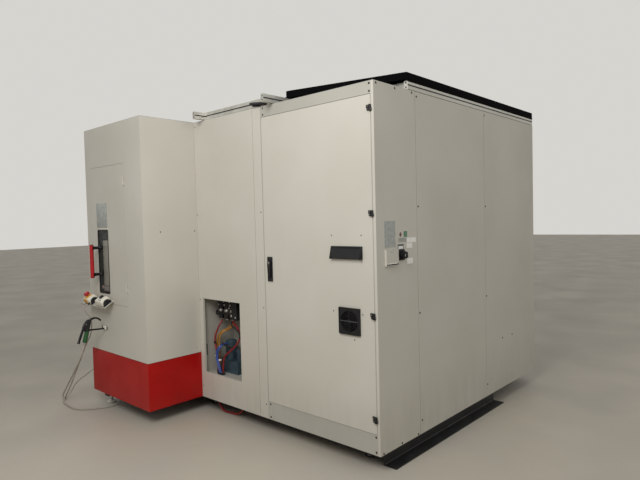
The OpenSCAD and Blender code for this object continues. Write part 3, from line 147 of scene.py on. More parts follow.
def addDustAndShade(made, toneCode, lowM, highM, amount):
    tree = made["tree"]
    height = addNode(tree, "ShaderNodeSeparateXYZ", links={0: made["place"]}).outputs[2]
    fall = addNode(tree, "ShaderNodeMapRange",
                   values={"From Min": lowM, "From Max": highM, "To Min": amount, "To Max": 0.0},
                   links={"Value": height}).outputs[0]
    across, upward = 1000 / dustAndShade["streakWideMm"], 1000 / dustAndShade["streakTallMm"]
    streak = addNode(tree, "ShaderNodeMapping", values={"Scale": (across, across, upward)},
                     links={"Vector": made["place"]}).outputs[0]
    cloud = addNode(tree, "ShaderNodeTexNoise", values={"Scale": 1.0, "Detail": 5.0},
                    links={"Vector": streak}).outputs[0]
    factor = addNode(tree, "ShaderNodeMath", {"operation": "MULTIPLY"}, links={0: fall, 1: cloud}).outputs[0]
    overlay(made, toneCode, factor)


# Powder-coated sheet steel, baked: an even warm grey with a faint orange peel and soft handling marks
def powderCoat(name, tones, shadeAndDustAmount):
    made = makeFinish(name, tones, 620, (0.38, 0.5), 5, 0.05)
    # Darker towards the bottom: partly dust, partly painted shade low on the panels
    addDustAndShade(made, "#8F8B80", 0.1, 0.55, shadeAndDustAmount)
    return made["material"]


coatGrey = powderCoat("powderCoatWarmGrey", ("#CBC7BC", "#C5C1B5"), 0.5)
coatGreyInner = powderCoat("powderCoatInnerGrey", ("#B5B2A8", "#ACA99F"), 0.2)

# Alkyd enamel sprayed on the skirt: bright red, wet gloss with a slight wave and dull scuffs low down
skirtMade = makeFinish("alkydEnamelRed", ("#B00D09", "#A40B08"), 260, (0.3, 0.45), 14, 0.05, ior=1.35)
addDustAndShade(skirtMade, "#6A3A32", 0.1, 0.3, 0.35)
enamelRed = skirtMade["material"]

# Semi-gloss black paint on formed steel: near black with grey dust lying on it
beamMade = makeFinish("baseEnamelBlack", ("#0B0C0F", "#121316"), 120, (0.3, 0.55), 6, 0.08)
addDustAndShade(beamMade, "#33322F", 0.0, 0.14, 0.6)
enamelBlack = beamMade["material"]

# Machine enamel over a sand casting: mid grey, softly pebbled from the sand
castGrey = plainFinish("castingEnamelGrey", ("#8E9397", "#83888C"), 180, (0.42, 0.6), 7, 0.25)
standGrey = plainFinish("standEnamelGrey", ("#54585C", "#4B4F53"), 150, (0.4, 0.55), 6, 0.15)

# Ground tool steel: bright, with fine lines along the grinding direction, drawn 3 mm apart to show
groundSteel = plainFinish("toolSteelGround", ("#B2B5B7", "#ABAEB1"), 60, (0.22, 0.38), 3, 0.02,
                          (1, 0.08, 1), 1.0)
# Turned spindle steel: brighter, with fine lines along the axis, drawn 2 mm apart to show
turnedSteel = plainFinish("spindleSteelTurned", ("#D2D4D6", "#BFC2C4"), 40, (0.12, 0.22), 2, 0.01,
                          (1, 1, 0.1), 1.0)

# Zinc-plated steel: pale silver with a cloudy passivated bloom
zincSteel = plainFinish("zincPlatedSteel", ("#B8B7B2", "#9D9C99"), 25, (0.3, 0.5), 3, 0.03, metallic=1.0)

# Galvanised sheet: large pale spangles
galvanised = plainFinish("galvanisedSheet", ("#A8AAA6", "#9EA09B"), 24, (0.4, 0.6), 12, 0.03, metallic=0.7)

# Stainless sheet with a vertical brushed grain, drawn 4 mm wide to show
stainless = plainFinish("stainlessBrushed", ("#A8A9A6", "#94958F"), 90, (0.3, 0.45), 4, 0.03,
                        (1, 1, 0.05), 0.8)

# Extruded aluminium, mill finish: soft grey sheen with long die lines; anodised plate: flat pale grey
aluminium = plainFinish("aluminiumExtruded", ("#D0CEC6", "#BFBDB5"), 70, (0.35, 0.5), 4, 0.03,
                        (1, 0.06, 1), 0.75)
plateMetal = plainFinish("aluminiumAnodised", ("#B3B6B1", "#A1A6A2"), 22, (0.4, 0.55), 3, 0.02, metallic=0.25)

# Glass-filled nylon, moulded against a spark-eroded tool: black with a dry fine grain, or polished
nylonBlack = plainFinish("nylonMouldedBlack", ("#111113", "#19181A"), 30, (0.38, 0.55), 2.5, 0.08, ior=1.42)
nylonGloss = plainFinish("nylonPolishedBlack", ("#08080A", "#0E0E10"), 40, (0.3, 0.42), 3, 0.03, ior=1.38)
# Black oxide on steel: dark with a faint oily sheen; polycarbonate: dark grey with a soft gloss
screwBlack = plainFinish("blackOxideSteel", ("#202023", "#2C2C30"), 6, (0.3, 0.45), 2, 0.02, metallic=0.6)
driveGrey = plainFinish("polycarbonateDarkGrey", ("#3B3D40", "#333538"), 60, (0.4, 0.55), 3, 0.06)

# ABS moulded in polished tools: even colour, soft gloss; the grip's nitrile is dull and pebbled
absRed = plainFinish("absRedGloss", ("#B5141F", "#A3111B"), 45, (0.2, 0.32), 6, 0.03, coat=0.2)
absCream = plainFinish("absCream", ("#EAE5D6", "#DED9C9"), 30, (0.34, 0.46), 3, 0.04)
absYellow = plainFinish("absYellow", ("#E3A51C", "#D2951A"), 25, (0.34, 0.46), 3, 0.04)
softGreen = plainFinish("nitrileGripGreen", ("#235A2C", "#1B4A24"), 18, (0.5, 0.65), 2.5, 0.12)

# Nitrile, polyurethane and silicone hoses: matt rubber with dust, and clean satin plastic
rubberGrey = plainFinish("nitrileHoseGrey", ("#ABA499", "#9C968B"), 40, (0.55, 0.7), 3, 0.08)
rubberRed = plainFinish("nitrileHoseRed", ("#8E2024", "#7A1A1E"), 40, (0.4, 0.55), 3, 0.06)
rubberBlack = plainFinish("rubberBlack", ("#161617", "#232324"), 25, (0.6, 0.75), 2.5, 0.1)
tubeBlue = plainFinish("polyurethaneBlue", ("#3A55A0", "#314A8E"), 30, (0.25, 0.35), 4, 0.02, coat=0.2)
tubeYellow = plainFinish("polyurethaneYellow", ("#B98336", "#A3702B"), 30, (0.25, 0.35), 4, 0.02, coat=0.2)
tubePink = plainFinish("siliconePinkWhite", ("#C9A39B", "#B98F88"), 30, (0.35, 0.5), 4, 0.02)

# Brushed-on pump enamel: dull blue grey with a thick uneven skin
pumpEnamel = plainFinish("pumpEnamelBlueGrey", ("#3C505A", "#32434B"), 50, (0.35, 0.5), 5, 0.12)

# Coated paper and cast vinyl labels, left bare: flat even colours with a faint sheen
paper = plainFinish("paperWhite", ("#F6F5F1", "#EEECE6"), 30, (0.55, 0.7), 3, 0.03)
vinylGreen = plainFinish("vinylGreen", ("#5E8C6E", "#527E62"), 14, (0.35, 0.45), 3, 0.02)
vinylRed = plainFinish("vinylDarkRed", ("#6E3A38", "#5F302F"), 14, (0.35, 0.45), 3, 0.02)
vinylGrey = plainFinish("vinylGrey", ("#A7A8A1", "#9A9B94"), 18, (0.35, 0.5), 3, 0.02)

# Coated polyester cloth of the roof cover: black and dull, woven, its threads drawn 4 mm apart to show
cloth = {"threadMm": 4.0277, "waver": 0.6, "threadTone": "#0D0D0F", "threadShare": 0.35}
clothMade = makeFinish("polyesterClothBlack", ("#050506", "#09090B"), 200, (0.85, 0.95), 9, 0.2, ior=1.14)
threadScale = 2 * math.pi / 20 * 1000 / cloth["threadMm"]  # at scale 1 the wave turns 20 radians in a metre
weave = addNode(clothMade["tree"], "ShaderNodeTexWave", {"bands_direction": "X"},
                {"Scale": threadScale, "Distortion": cloth["waver"]}, {"Vector": clothMade["place"]})
threads = addNode(clothMade["tree"], "ShaderNodeMath", {"operation": "MULTIPLY"}, {1: cloth["threadShare"]},
                  {0: weave.outputs["Fac"]})
overlay(clothMade, cloth["threadTone"], threads.outputs[0])
clothBlack = clothMade["material"]

# Laminated safety glass, tinted: the eye sees a dark film with a clear reflection
glassTinted = plainFinish("laminatedGlassTinted", ("#4A4F4C", "#424744"), 120, (0.04, 0.09), 20, 0.01,
                          alpha=0.24)
print("finishes made")


# The piece in the making: the helpers add parts to it in plan millimetres, makePiece turns it into an object
draft = bmesh.new()


def mergePart(part, finishIndex=0, move=None):
    if move is not None:
        part.transform(move)
    bmesh.ops.recalc_face_normals(part, faces=part.faces)
    for face in part.faces:
        face.material_index = finishIndex
    holder = bpy.data.meshes.new("holder")
    part.to_mesh(holder)
    part.free()
    draft.from_mesh(holder)
    bpy.data.meshes.remove(holder)


def roundEdges(part, radius, steps=2):
    if radius > 0:
        bmesh.ops.bevel(part, geom=part.edges[:], offset=radius, segments=steps, profile=0.5, affect="EDGES",
                        clamp_overlap=True)


# Faces between closed loops of equal length, each joined to the next
def joinLoops(part, loops):
    for one, two in zip(loops, loops[1:]):
        for k in range(len(one)):
            after = (k + 1) % len(one)
            part.faces.new((one[k], one[after], two[after], two[k]))


def addBlock(low, high, radius=0.0, steps=2, finishIndex=0, move=None):
    part = bmesh.new()
    for vert in bmesh.ops.create_cube(part, size=1.0)["verts"]:
        vert.co = Vector([(a + b) / 2 + c * (b - a) for a, b, c in zip(low, high, vert.co)])
    roundEdges(part, radius, steps)
    mergePart(part, finishIndex, move)


def addLathe(profile, move, steps=24, finishIndex=0):
    part = bmesh.new()
    rings = []
    for radius, height in profile:
        count = 1 if radius < 1e-6 else steps
        turns = [2 * math.pi * k / steps for k in range(count)]
        rings.append([part.verts.new((radius * math.cos(t), radius * math.sin(t), height)) for t in turns])
    for lower, upper in zip(rings, rings[1:]):
        for k in range(steps):
            corners = [lower[k % len(lower)], lower[(k + 1) % len(lower)],
                       upper[(k + 1) % len(upper)], upper[k % len(upper)]]
            corners = list(dict.fromkeys(corners))
            if len(corners) > 2:
                part.faces.new(corners)
    mergePart(part, finishIndex, move)


def onCircle(radius, degrees):
    return radius * math.cos(math.radians(degrees)), radius * math.sin(math.radians(degrees))


def facing(place, direction):
    return Matrix.Translation(place) @ Vector(direction).to_track_quat("Z", "Y").to_matrix().to_4x4()


# A place on a front face, its local z pointing outwards
def onFront(x, y, z):
    return facing((x, y, z), frontward)


def addPrism(outline, depth, move, radius=0.0, steps=2, finishIndex=0):
    part = bmesh.new()
    base = part.faces.new([part.verts.new((x, y, 0)) for x, y in outline])
    for item in bmesh.ops.extrude_face_region(part, geom=[base])["geom"]:
        if isinstance(item, bmesh.types.BMVert):
            item.co.z = depth
    roundEdges(part, radius, steps)
    mergePart(part, finishIndex, move)


# A band between two radii over an arc, such as a clip or an arched grip
def addArcBand(inner, outer, low, high, start, end, move, steps, finishIndex, radius):
    part = bmesh.new()
    angles = [math.radians(start + (end - start) * k / steps) for k in range(steps + 1)]
    rings = [[part.verts.new((r * math.cos(a), r * math.sin(a), z))
              for r, z in ((inner, low), (outer, low), (outer, high), (inner, high))] for a in angles]
    joinLoops(part, rings)
    part.faces.new(rings[0])
    part.faces.new(list(reversed(rings[-1])))
    roundEdges(part, radius)
    mergePart(part, finishIndex, move)


def cornerLoop(low, high, radius, steps=5):
    middles = [(high[0] - radius, high[1] - radius, 0), (low[0] + radius, high[1] - radius, 90),
               (low[0] + radius, low[1] + radius, 180), (high[0] - radius, low[1] + radius, 270)]
    turns = [(x, y, onCircle(radius, a + 90 * k / steps)) for x, y, a in middles for k in range(steps + 1)]
    return [(x + across, y + up) for x, y, (across, up) in turns]


# A flat frame between two outlines, from a low to a high level of its local z
def addFrame(outer, inner, low, high, move):
    part = bmesh.new()
    loops = [[part.verts.new((x, y, level)) for x, y in corners]
             for corners, level in ((outer, low), (outer, high), (inner, high), (inner, low))]
    joinLoops(part, loops + loops[:1])
    mergePart(part, 0, move)


def smoothRoute(points, share):
    points = [Vector(p) for p in points]
    smooth = []
    for i in range(len(points) - 1):
        a, b = points[max(i - 1, 0)], points[i]
        c, d = points[i + 1], points[min(i + 2, len(points) - 1)]
        for k in range(share):
            t = k / share
            smooth.append(0.5 * (2 * b + (c - a) * t + (2 * a - 5 * b + 4 * c - d) * t * t
                                 + (3 * b - a - 3 * c + d) * t ** 3))
    return smooth + [points[-1]]


# A tube along points; the radius may change from ring to ring
def addTube(points, radius, sides=12, finishIndex=0):
    part = bmesh.new()
    across = None
    rings = []
    for i, point in enumerate(points):
        along = (points[min(i + 1, len(points) - 1)] - points[max(i - 1, 0)]).normalized()
        if across is None:
            across = along.orthogonal().normalized()
        across = (across - along * across.dot(along)).normalized()
        third = along.cross(across)
        r = radius(i) if callable(radius) else radius
        rings.append([part.verts.new(point + r * (across * math.cos(2 * math.pi * k / sides)
                                                  + third * math.sin(2 * math.pi * k / sides)))
                      for k in range(sides)])
    joinLoops(part, rings)
    part.faces.new(list(reversed(rings[0])))
    part.faces.new(rings[-1])
    mergePart(part, finishIndex)


def addHexNut(width, height, move, finishIndex=0):
    addPrism([onCircle(width / 1.732, 60 * k) for k in range(6)], height, move, width * 0.04, 1, finishIndex)


def addScrew(place, direction, width=14.0, finishIndex=0):
    r = width / 2
    profile = [(r, 0), (r, 0.6), (r * 0.92, 1.6), (r * 0.68, 2.6), (r * 0.46, 3.0), (r * 0.4, 3.0),
               (r * 0.4, 1.2), (0, 1.2)]
    addLathe(profile, facing(place, direction), 18, finishIndex)


def makePiece(name, finishes, replaced=None, body="machine", sharpAngle=35):
    draft.transform(toMetres)
    limit = math.radians(sharpAngle)
    for face in draft.faces:
        face.smooth = True
    for edge in draft.edges:
        edge.smooth = len(edge.link_faces) == 2 and edge.calc_face_angle(0) < limit
    mesh = bpy.data.meshes.new(name)
    draft.to_mesh(mesh)
    draft.clear()
    for material in finishes:
        mesh.materials.append(material)
    piece = bpy.data.objects.new(name, mesh)
    scene.collection.objects.link(piece)
    if body:
        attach(piece, body)
    if replaced:
        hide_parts(replaced)
    return piece


# Lays an outline drawn in x and y into the plan's y and z, with its depth along x
sideTurn = Matrix(((0, 0, 1, 0), (1, 0, 0, 0), (0, 1, 0, 0), (0, 0, 0, 1)))
# Stands what is drawn flat on the floor up against a front face
upright = turned(90, "X")

# The tilted frames of the pendant shelf and of the coolant gun
shelf = {"tilt": 32.0, "rear": -507.59, "height": 974.0, "low": -2860.0, "high": -2415.0, "slope": 104.0}
onShelf = shifted(0, shelf["rear"], shelf["height"]) @ turned(shelf["tilt"], "X")
gun = {"place": (-2600.0, -669.0, 725.0), "lean": 14.7, "gripLow": -108.0, "gland": 22.0}
onGun = shifted(*gun["place"]) @ turned(-gun["lean"], "X")


# Free hoses and cables, on the routes of the CAD solids
cords = {
    "gunHose": {
        "finish": rubberGrey, "slot": "grey_rubber", "replaced": "gun_hose", "diameter": 0.014,
        "length": 1.636,
        "route": [onGun @ Vector((0, 0, gun["gripLow"] - gun["gland"] - d)) for d in (0.3, 20, 38)] + [
            (-2625, -718, 500), (-2710, -705, 430), (-2825, -700, 330), (-2935, -700, 225), (-3025, -702, 135),
            (-3080, -706, 70), (-3060, -712, 14), (-2985, -717, 8), (-2850, -722, 8), (-2760, -700, 8),
            (-2690, -640, 8), (-2640, -560, 8), (-2610, -470, 10), (-2600, -390, 34), (-2625, -340, 74),
            (-2655, -330, 88), (-2685, -330, 88), (-2714.7, -330, 88)]},
    "pendantCable": {
        "finish": rubberGrey, "slot": "grey_rubber", "replaced": "pendant_cable", "diameter": 0.010,
        "length": 1.641,
        "route": [onShelf @ Vector((-2678, -120 - d, 24)) for d in (0.3, 20, 35)] + [
            (-2672, -658, 890), (-2662, -640, 855), (-2655, -612, 810), (-2655, -605, 750), (-2660, -612, 680),
            (-2690, -640, 590), (-2750, -660, 480),
            (-2885, -658, 320), (-2990, -664, 180), (-3075, -670, 80), (-3140, -668, 22), (-3185, -635, 10),
            (-3180, -598, 45), (-3130, -575, 125), (-3060, -555, 185), (-2990, -530, 232), (-2940, -508, 270),
            (-2921, -490, 290), (-2905, -490, 290), (-2889.3, -490, 290)]},
    "drainHose": {
        "finish": rubberRed, "slot": "red_rubber", "replaced": "drain_hose", "diameter": 0.016,
        "length": 0.816,
        "route": [(-1808, 108, 299 - d) for d in (0.3, 30, 60)] + [
            (-1806, 100, 150), (-1780, 88, 60), (-1705, 82, 13), (-1616, 88, 13), (-1540, 98, 17),
            (-1478, 104, 70), (-1459, 107, 160)] + [(-1458, 108, 299 - d) for d in (60, 30, 0.3)]},
}
for name, look in cords.items():
    route = smoothRoute(look["route"], 8)
    addTube(route, look["diameter"] * 500, 16)
    held = name == "pendantCable"
    body = None if held else "machine"
    piece = makePiece(name, [look["finish"]], look["replaced"], body, 60)
    if held:
        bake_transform(piece)
print("free hoses and cables laid")


# CAD solids whose shape is right, with the finish of the real piece
cadFinishes = {
    coatGrey: "side_panel_front side_panel_middle side_panel_rear rear_panels left_panels middle_panel "
              "pillar_strip front_box cabinet_door front_door document_pocket",
    coatGreyInner: "service_box enclosure_posts cabinet_carcass",
    enamelRed: "red_skirt",
    enamelBlack: "base_beams base_cross_members",
    castGrey: "machine_bed traverse x_slide trunnion_cradle",
    standGrey: "magazine_stand",
    groundSteel: "y_guide_rails spindle_ram rotary_table",
    plateMetal: "magazine_wheel",
    turnedSteel: "spindle_rotor",
    stainless: "work_cabin",
    galvanised: "roof_plate mounting_plate",
    aluminium: "roof_rails",
    clothBlack: "roof_cover",
    driveGrey: "drive_modules",
    nylonBlack: "cabinet_hinges door_fittings vent_hood fan_guard fan_rotor valve_block main_switch_plate",
    pumpEnamel: "fluid_pump",
    glassTinted: "door_window",
}
for material, names in cadFinishes.items():
    for name in names.split():
        mesh = nodes[name].data
        mesh.materials.clear()
        mesh.materials.append(material)
        for polygon in mesh.polygons:
            polygon.material_index = 0
print("finishes set on the solids")


# Hoses inside the service opening: the red and yellow ones as offsets from their upper ends
service = {"left": -1848.0, "top": 975.0, "floor": 321.3, "pumpFront": 179.7, "valveY": 158.0, "valveX": 45.0,
           "redTop": 186.3, "yellowTop": 108.3, "straight": 25.0}
hoseX, hoseY = service["left"] + service["valveX"], service["valveY"]
hoseZ = service["top"] - service["redTop"]
yellowZ = service["top"] - service["yellowTop"]
redDrop, yellowDrop = service["floor"] - hoseZ, service["floor"] - yellowZ
straight = service["straight"]
redLeft = [(0, 0, 0), (0, 0, -12), (0, 0, -25), (-6, -28, -68), (-24, -54, -141), (-27, -60, -208),
           (-8, -64, -262), (12, -64, -326), (16, -64, -392),
           (20, -64, redDrop + straight), (20, -64, redDrop)]
redRight = [(156, 0, 0), (156, 0, -12), (156, 0, -25), (221, -8, -61), (270, -28, -100), (300, -48, -132),
            (264, -58, -192), (198, -68, -249), (129, -76, -305), (105, -78, -380),
            (100, -78, redDrop + straight), (100, -78, redDrop)]
yellowLine = [(28, 104, 0), (28, 104, -13), (28, 104, -27), (30, 84, -130), (20, 40, -176), (4, -4, -192),
              (-20, -28, -228), (-34, -33, -290), (-30, -36, -370), (-24, -38, -450),
              (-22, -38, yellowDrop + straight), (-22, -38, yellowDrop)]
blueLine = [(133, 58, service["floor"]), (133, 58, service["floor"] + 15), (133, 58, service["floor"] + 30),
            (116, 58, 400), (90, 60, 474), (107, 62, 535), (130, 74, 566), (110, 108, 572), (78, 138, 565),
            (78, 152, 565), (78, 166, 565), (78, service["pumpFront"], 565)]
hoseRoutes = [(rubberRed, 8, (hoseX, hoseY, hoseZ), redLeft), (rubberRed, 8, (hoseX, hoseY, hoseZ), redRight)]
hoseRoutes += [(tubeYellow, 7, (hoseX + 26 * k, hoseY + 3 * k, yellowZ), yellowLine) for k in range(2)]
hoseRoutes += [(tubeBlue, 5, (service["left"] + 12 * (k - 1), 0, 0), blueLine) for k in range(3)]
hoseGroups = {"redHoses": ([rubberRed], "red_rubber", "red_hoses"),
              "airHoses": ([tubeYellow, tubeBlue], "blue_rubber", "small_hoses")}
for name, (finishes, slotName, replaced) in hoseGroups.items():
    for material, radius, start, points in hoseRoutes:
        if material in finishes:
            line = smoothRoute([Vector(start) + Vector(p) for p in points], 6)
            addTube(line, radius, finishIndex=finishes.index(material))
    makePiece(name, finishes, replaced, sharpAngle=60)
print("inner hoses laid")


# Door handle: red tube with thin end caps, held from behind by two thick black standoffs
handle = {"x": -2640.0, "out": 80.0, "middle": 1307.0, "length": 292.0, "radius": 17.0, "cap": 5.0,
          "inset": 30.0}
handleY = boxFront - handle["out"]
half, r = handle["length"] / 2, handle["radius"]
tubeEnd, reach = half - handle["cap"], handle["out"] - r - 1
addLathe([(0, -tubeEnd), (r - 0.6, -tubeEnd), (r, 0.8 - tubeEnd), (r, tubeEnd - 0.8), (r - 0.6, tubeEnd),
          (0, tubeEnd)], shifted(handle["x"], handleY, handle["middle"]), 32)
makePiece("doorHandleTube", [absRed], "door_handle", "front_door")
for side in (-1, 1):
    addLathe([(0, 0), (r - 4, 0), (r - 1.2, 1.2), (r - 0.2, 3.5), (r - 0.2, 4.8), (0, 4.8)],
             facing((handle["x"], handleY, handle["middle"] + side * half), (0, 0, -side)), 32)
    post = handle["middle"] + side * (half - handle["inset"])
    addArcBand(r + 0.2, r + 4, -15, 15, 5, 175, shifted(handle["x"], handleY, post), 20, 0, 1.0)
    addLathe([(0, 0), (20, 0), (20, 5), (17, 8), (14, 13), (13, 22), (13, reach - 14), (14.5, reach - 5),
              (14.5, reach), (0, reach)], onFront(handle["x"], boxFront, post), 28)
makePiece("doorHandleMounts", [nylonBlack], body="front_door")


# Door window: rubber seal, light trim above, and what shows of the lining behind the tinted pane
window = {"x": (-2674.0, -2490.0), "z": (1026.0, 1576.0), "lip": 4.0, "proud": 3.0, "depth": 22.0}
(paneLeft, paneRight), (paneLow, paneTop) = window["x"], window["z"]
lip, lining = window["lip"], boxFront + window["depth"]
addFrame(cornerLoop((paneLeft - lip, paneLow - lip), (paneRight + lip, paneTop + lip), 14),
         cornerLoop((paneLeft + lip, paneLow + lip), (paneRight - lip, paneTop - lip), 12),
         0, window["proud"], shifted(0, boxFront, 0) @ upright)
makePiece("windowSeal", [rubberBlack], body="front_door")
addBlock((paneLeft - 4, boxFront - 3.5, paneTop + 8), (paneRight + 4, boxFront, paneTop + 15), 1.0)
makePiece("windowTrim", [absCream], body="front_door")
for finishIndex, low, high in (
        (0, (paneLeft + 1, lining, paneLow - 8), (paneRight + 8, lining + 4, paneTop + 8)),
        (1, (paneLeft + 46, lining - 4, paneLow + 62), (paneRight + 8, lining, paneTop - 90)),
        (3, (paneLeft + 34, lining - 3, paneLow + 12), (paneRight + 8, lining, paneLow + 56))):
    addBlock(low, high, 0.8, finishIndex=finishIndex)
addLathe([(17, 0), (17, 5), (11, 9), (0, 10)], onFront(paneLeft + 19, lining - 0.5, paneLow + 44), 20, 2)
makePiece("windowInnerPanel", [nylonBlack, absCream, tubePink, coatGrey], body="front_door")
doorPlate = {"x": (-2686, -2493), "z": (1597, 1811), "thick": 1.6, "rivets": 8}
(plateLeft, plateRight), (plateLow, plateTop) = doorPlate["x"], doorPlate["z"]
addBlock((plateLeft, boxFront - doorPlate["thick"], plateLow), (plateRight, boxFront, plateTop), 0.7)
for x in (plateLeft + doorPlate["rivets"], plateRight - doorPlate["rivets"]):
    for z in (plateLow + doorPlate["rivets"], plateTop - doorPlate["rivets"]):
        addLathe([(3, 0), (3, 0.8), (1.6, 1.6), (0, 1.7)], onFront(x, boxFront - doorPlate["thick"], z), 12)
makePiece("doorPlate", [plateMetal], body="front_door")
print("door handle and window made")


# Pendant shelf: folded sheet with a hemmed lip, bent once from the door
lipOut = -shelf["slope"]
shelfTop = [(lipOut - 3, 12), (lipOut - 1.5, 13.5), (lipOut, 12), (lipOut, 0), (0, 0), (0, -3),
            (lipOut - 1.5, -3), (lipOut - 3, -1.5)]
addPrism(shelfTop, shelf["high"] - shelf["low"], onShelf @ shifted(shelf["low"], 0, 0) @ sideTurn, 0.6)
addBlock((shelf["low"], boxFront - 3, shelf["height"] - 26),
         (shelf["high"], boxFront, shelf["height"] - 1), 0.6)
makePiece("pendantShelf", [coatGrey], "pendant_shelf", "front_door")

pendant = {"y": (-100.0, -14.0), "height": 62.0, "middle": -57.0, "foot": 12}
pendants = {
    "stopPendant": {"x": (-2794.0, -2668.0), "replaced": "stop_pendant", "well": (-2740.0, -55.0)},
    "wheelPendant": {"x": (-2563.0, -2431.0), "replaced": "wheel_pendant", "well": (-2503.0, -43.0)},
}
near, far = pendant["y"]
top = pendant["height"]


# A moulded housing: black rubber foot, cream shell that narrows upwards, black arch for the hand at the right
def addPendantShell(left, right):
    addBlock((left + 1, near + 1, 0.3), (right - 1, far - 1, pendant["foot"] + 1), 4, 3, 1)
    part = bmesh.new()
    rings = []
    for level, shrink in ((pendant["foot"], 0), (top - 20, 2), (top - 8, 5), (top - 2.5, 9), (top, 14)):
        loop = cornerLoop((left + shrink, near + shrink), (right - shrink, far - shrink),
                          14 if shrink < 9 else 10)
        rings.append([part.verts.new((x, y, level)) for x, y in loop])
    part.faces.new(list(reversed(rings[0])))
    joinLoops(part, rings)
    part.faces.new(rings[-1])
    mergePart(part)
    standing = shifted(right, pendant["middle"], pendant["foot"]) @ sideTurn
    addArcBand(24, 37, -10, 13, 0, 180, standing, 22, 1, 2.5)
    addBlock((right - 3, pendant["middle"] - 26, 8), (right + 2, pendant["middle"] + 26, 40), 2.0, 2, 1)


for name, look in pendants.items():
    addPendantShell(*look["x"])
    wellX, wellY = look["well"]
    if name == "stopPendant":
        bandNear, bandFar = near - 0.8, far + 0.8
        band = [(bandNear, 14), (bandNear + 2, top - 19), (bandNear + 6, top - 7), (bandNear + 14, top + 0.9),
                (bandFar - 14, top + 0.9), (bandFar - 6, top - 7), (bandFar - 2, top - 19), (bandFar, 14)]
        addPrism(band, 62, shifted(wellX - 30, 0, 0) @ sideTurn, 0.7, 1, 2)
        addLathe([(0, top), (18, top), (18, top + 4), (16.5, top + 6), (9, top + 6), (9, top)],
                 shifted(wellX, wellY, 0), 28, 2)
        addLathe([(0, 0), (7.5, 0), (7.5, 12), (6, 20), (5.4, 23), (0, 23)],
                 onFront(look["x"][1] - 10, near + 3, 24), 16, 1)
    else:
        addBlock((wellX - 21, wellY - 21, top - 1), (wellX + 21, wellY + 21, top + 0.2), 2.0, 2, 1)
        for keyX in (look["x"][0] + 64 + 17 * k for k in range(3)):
            addBlock((keyX, -86, top - 1), (keyX + 10, -76, top + 1.6), 1.2, 2, 1)
    draft.transform(onShelf)
    makePiece(name, [absCream, rubberBlack, absYellow], look["replaced"], "front_door", 50)

# Stop button: red mushroom cap on a waisted stem
addLathe([(0, 49.5), (7.7, 49.5), (7.7, 72.6), (10, 74.2), (19, 75), (22.6, 77), (23.2, 81), (23, 93),
          (21.6, 98), (17, 101), (9, 102.6), (0, 103)],
         onShelf @ shifted(*pendants["stopPendant"]["well"], 0), 36)
makePiece("stopButton", [absRed], "stop_button", "stop_button", 45)

# Handwheel dial: black disc with a knurled rim and a crank knob
onDial = onShelf @ shifted(*pendants["wheelPendant"]["well"], top - 46)
addLathe([(0, 31.2), (3.9, 31.2), (3.9, 46.4), (16.4, 46.4), (17, 47.4), (17, 55.4), (15.4, 57), (0, 57)],
         onDial, 48)
for k in range(24):
    addBlock((16.6, -0.9, 48), (17.9, 0.9, 55), 0.4, 1, 0, onDial @ turned(15 * k, "Z"))
addLathe([(0, 56), (3.6, 56), (2.8, 58.5), (3.9, 61), (3.6, 64), (0, 64.6)], onDial @ shifted(10, 0, 0), 18)
makePiece("handwheelDial", [nylonBlack], "handwheel_dial", "handwheel_dial")
print("pendants made")


# Coolant gun: black pistol body with two cheeks, green ribbed grip, bent nozzle that thins out
addLathe([(0, -9), (17, -9), (17, 40), (16.2, 46), (17, 52), (17, 70), (15, 80), (11, 86), (0, 87)],
         onGun, 32)
cheek = [(4, -14), (-30, -16), (-42, -4), (-44, 18), (-37, 44), (-28, 66), (-14, 84), (0, 90), (10, 82),
         (12, 20)]
for side in (-1, 1):
    addPrism(cheek, 7.5, onGun @ shifted(side * 11.6 - 3.75, 0, 0) @ sideTurn, 2.2, 2)
addBlock((-10, -24, 62), (10, 0, 84), 4, 2, 0, onGun)
addLathe([(0, -16.4), (4.5, -16.4), (4.5, 16.4), (0, 16.4)], onGun @ facing((0, -26, 45), rightward), 16, 2)
gripLow = gun["gripLow"]
gripProfile = [(0, gripLow), (17, gripLow)]
for level in (gripLow + 3 + 7.8 * k for k in range(12)):
    gripProfile += [(19, level), (19, level + 4.6), (17.9, level + 5.2), (17.9, level + 7.2)]
gripProfile += [(17.4, -9.2), (0, -9.2)]
addLathe(gripProfile, onGun, 28, 1)
glandLow = gripLow - gun["gland"]
addLathe([(0, glandLow), (8, glandLow), (11, glandLow + 4), (11, gripLow - 2), (9, gripLow), (0, gripLow)],
         onGun, 20, 2)
nozzle = [onGun @ Vector((0, 0, 66)), onGun @ Vector((0, 8, 86)), (-2600, -612, 817), (-2600, -582, 814),
          (-2600, -564, 803), (-2600, -548, 788)]
addTube(smoothRoute(nozzle, 5), lambda i: max(7.6, 12.5 - i * 0.35), 16)
makePiece("coolantGun", [nylonBlack, softGreen, zincSteel], "coolant_gun")

# Lever of the gun, a flat moulding that bows outwards
addArcBand(5.5, 11.5, -7, 7, 0, 360, onGun @ shifted(0, -50, -114) @ sideTurn, 20, 0, 1.0)
lever = [(-57, -90), (-54, -58), (-46, 4), (-41, 34), (-38, 45), (-33, 53), (-25, 54), (-20, 49), (-19.5, 41),
         (-23, 24), (-29, -8), (-35, -60), (-41, -108), (-50, -113), (-56, -108)]
addPrism(lever, 14, onGun @ shifted(-7, 0, 0) @ sideTurn, 1.6)
makePiece("gunLever", [nylonBlack], "gun_trigger", "gun_trigger")

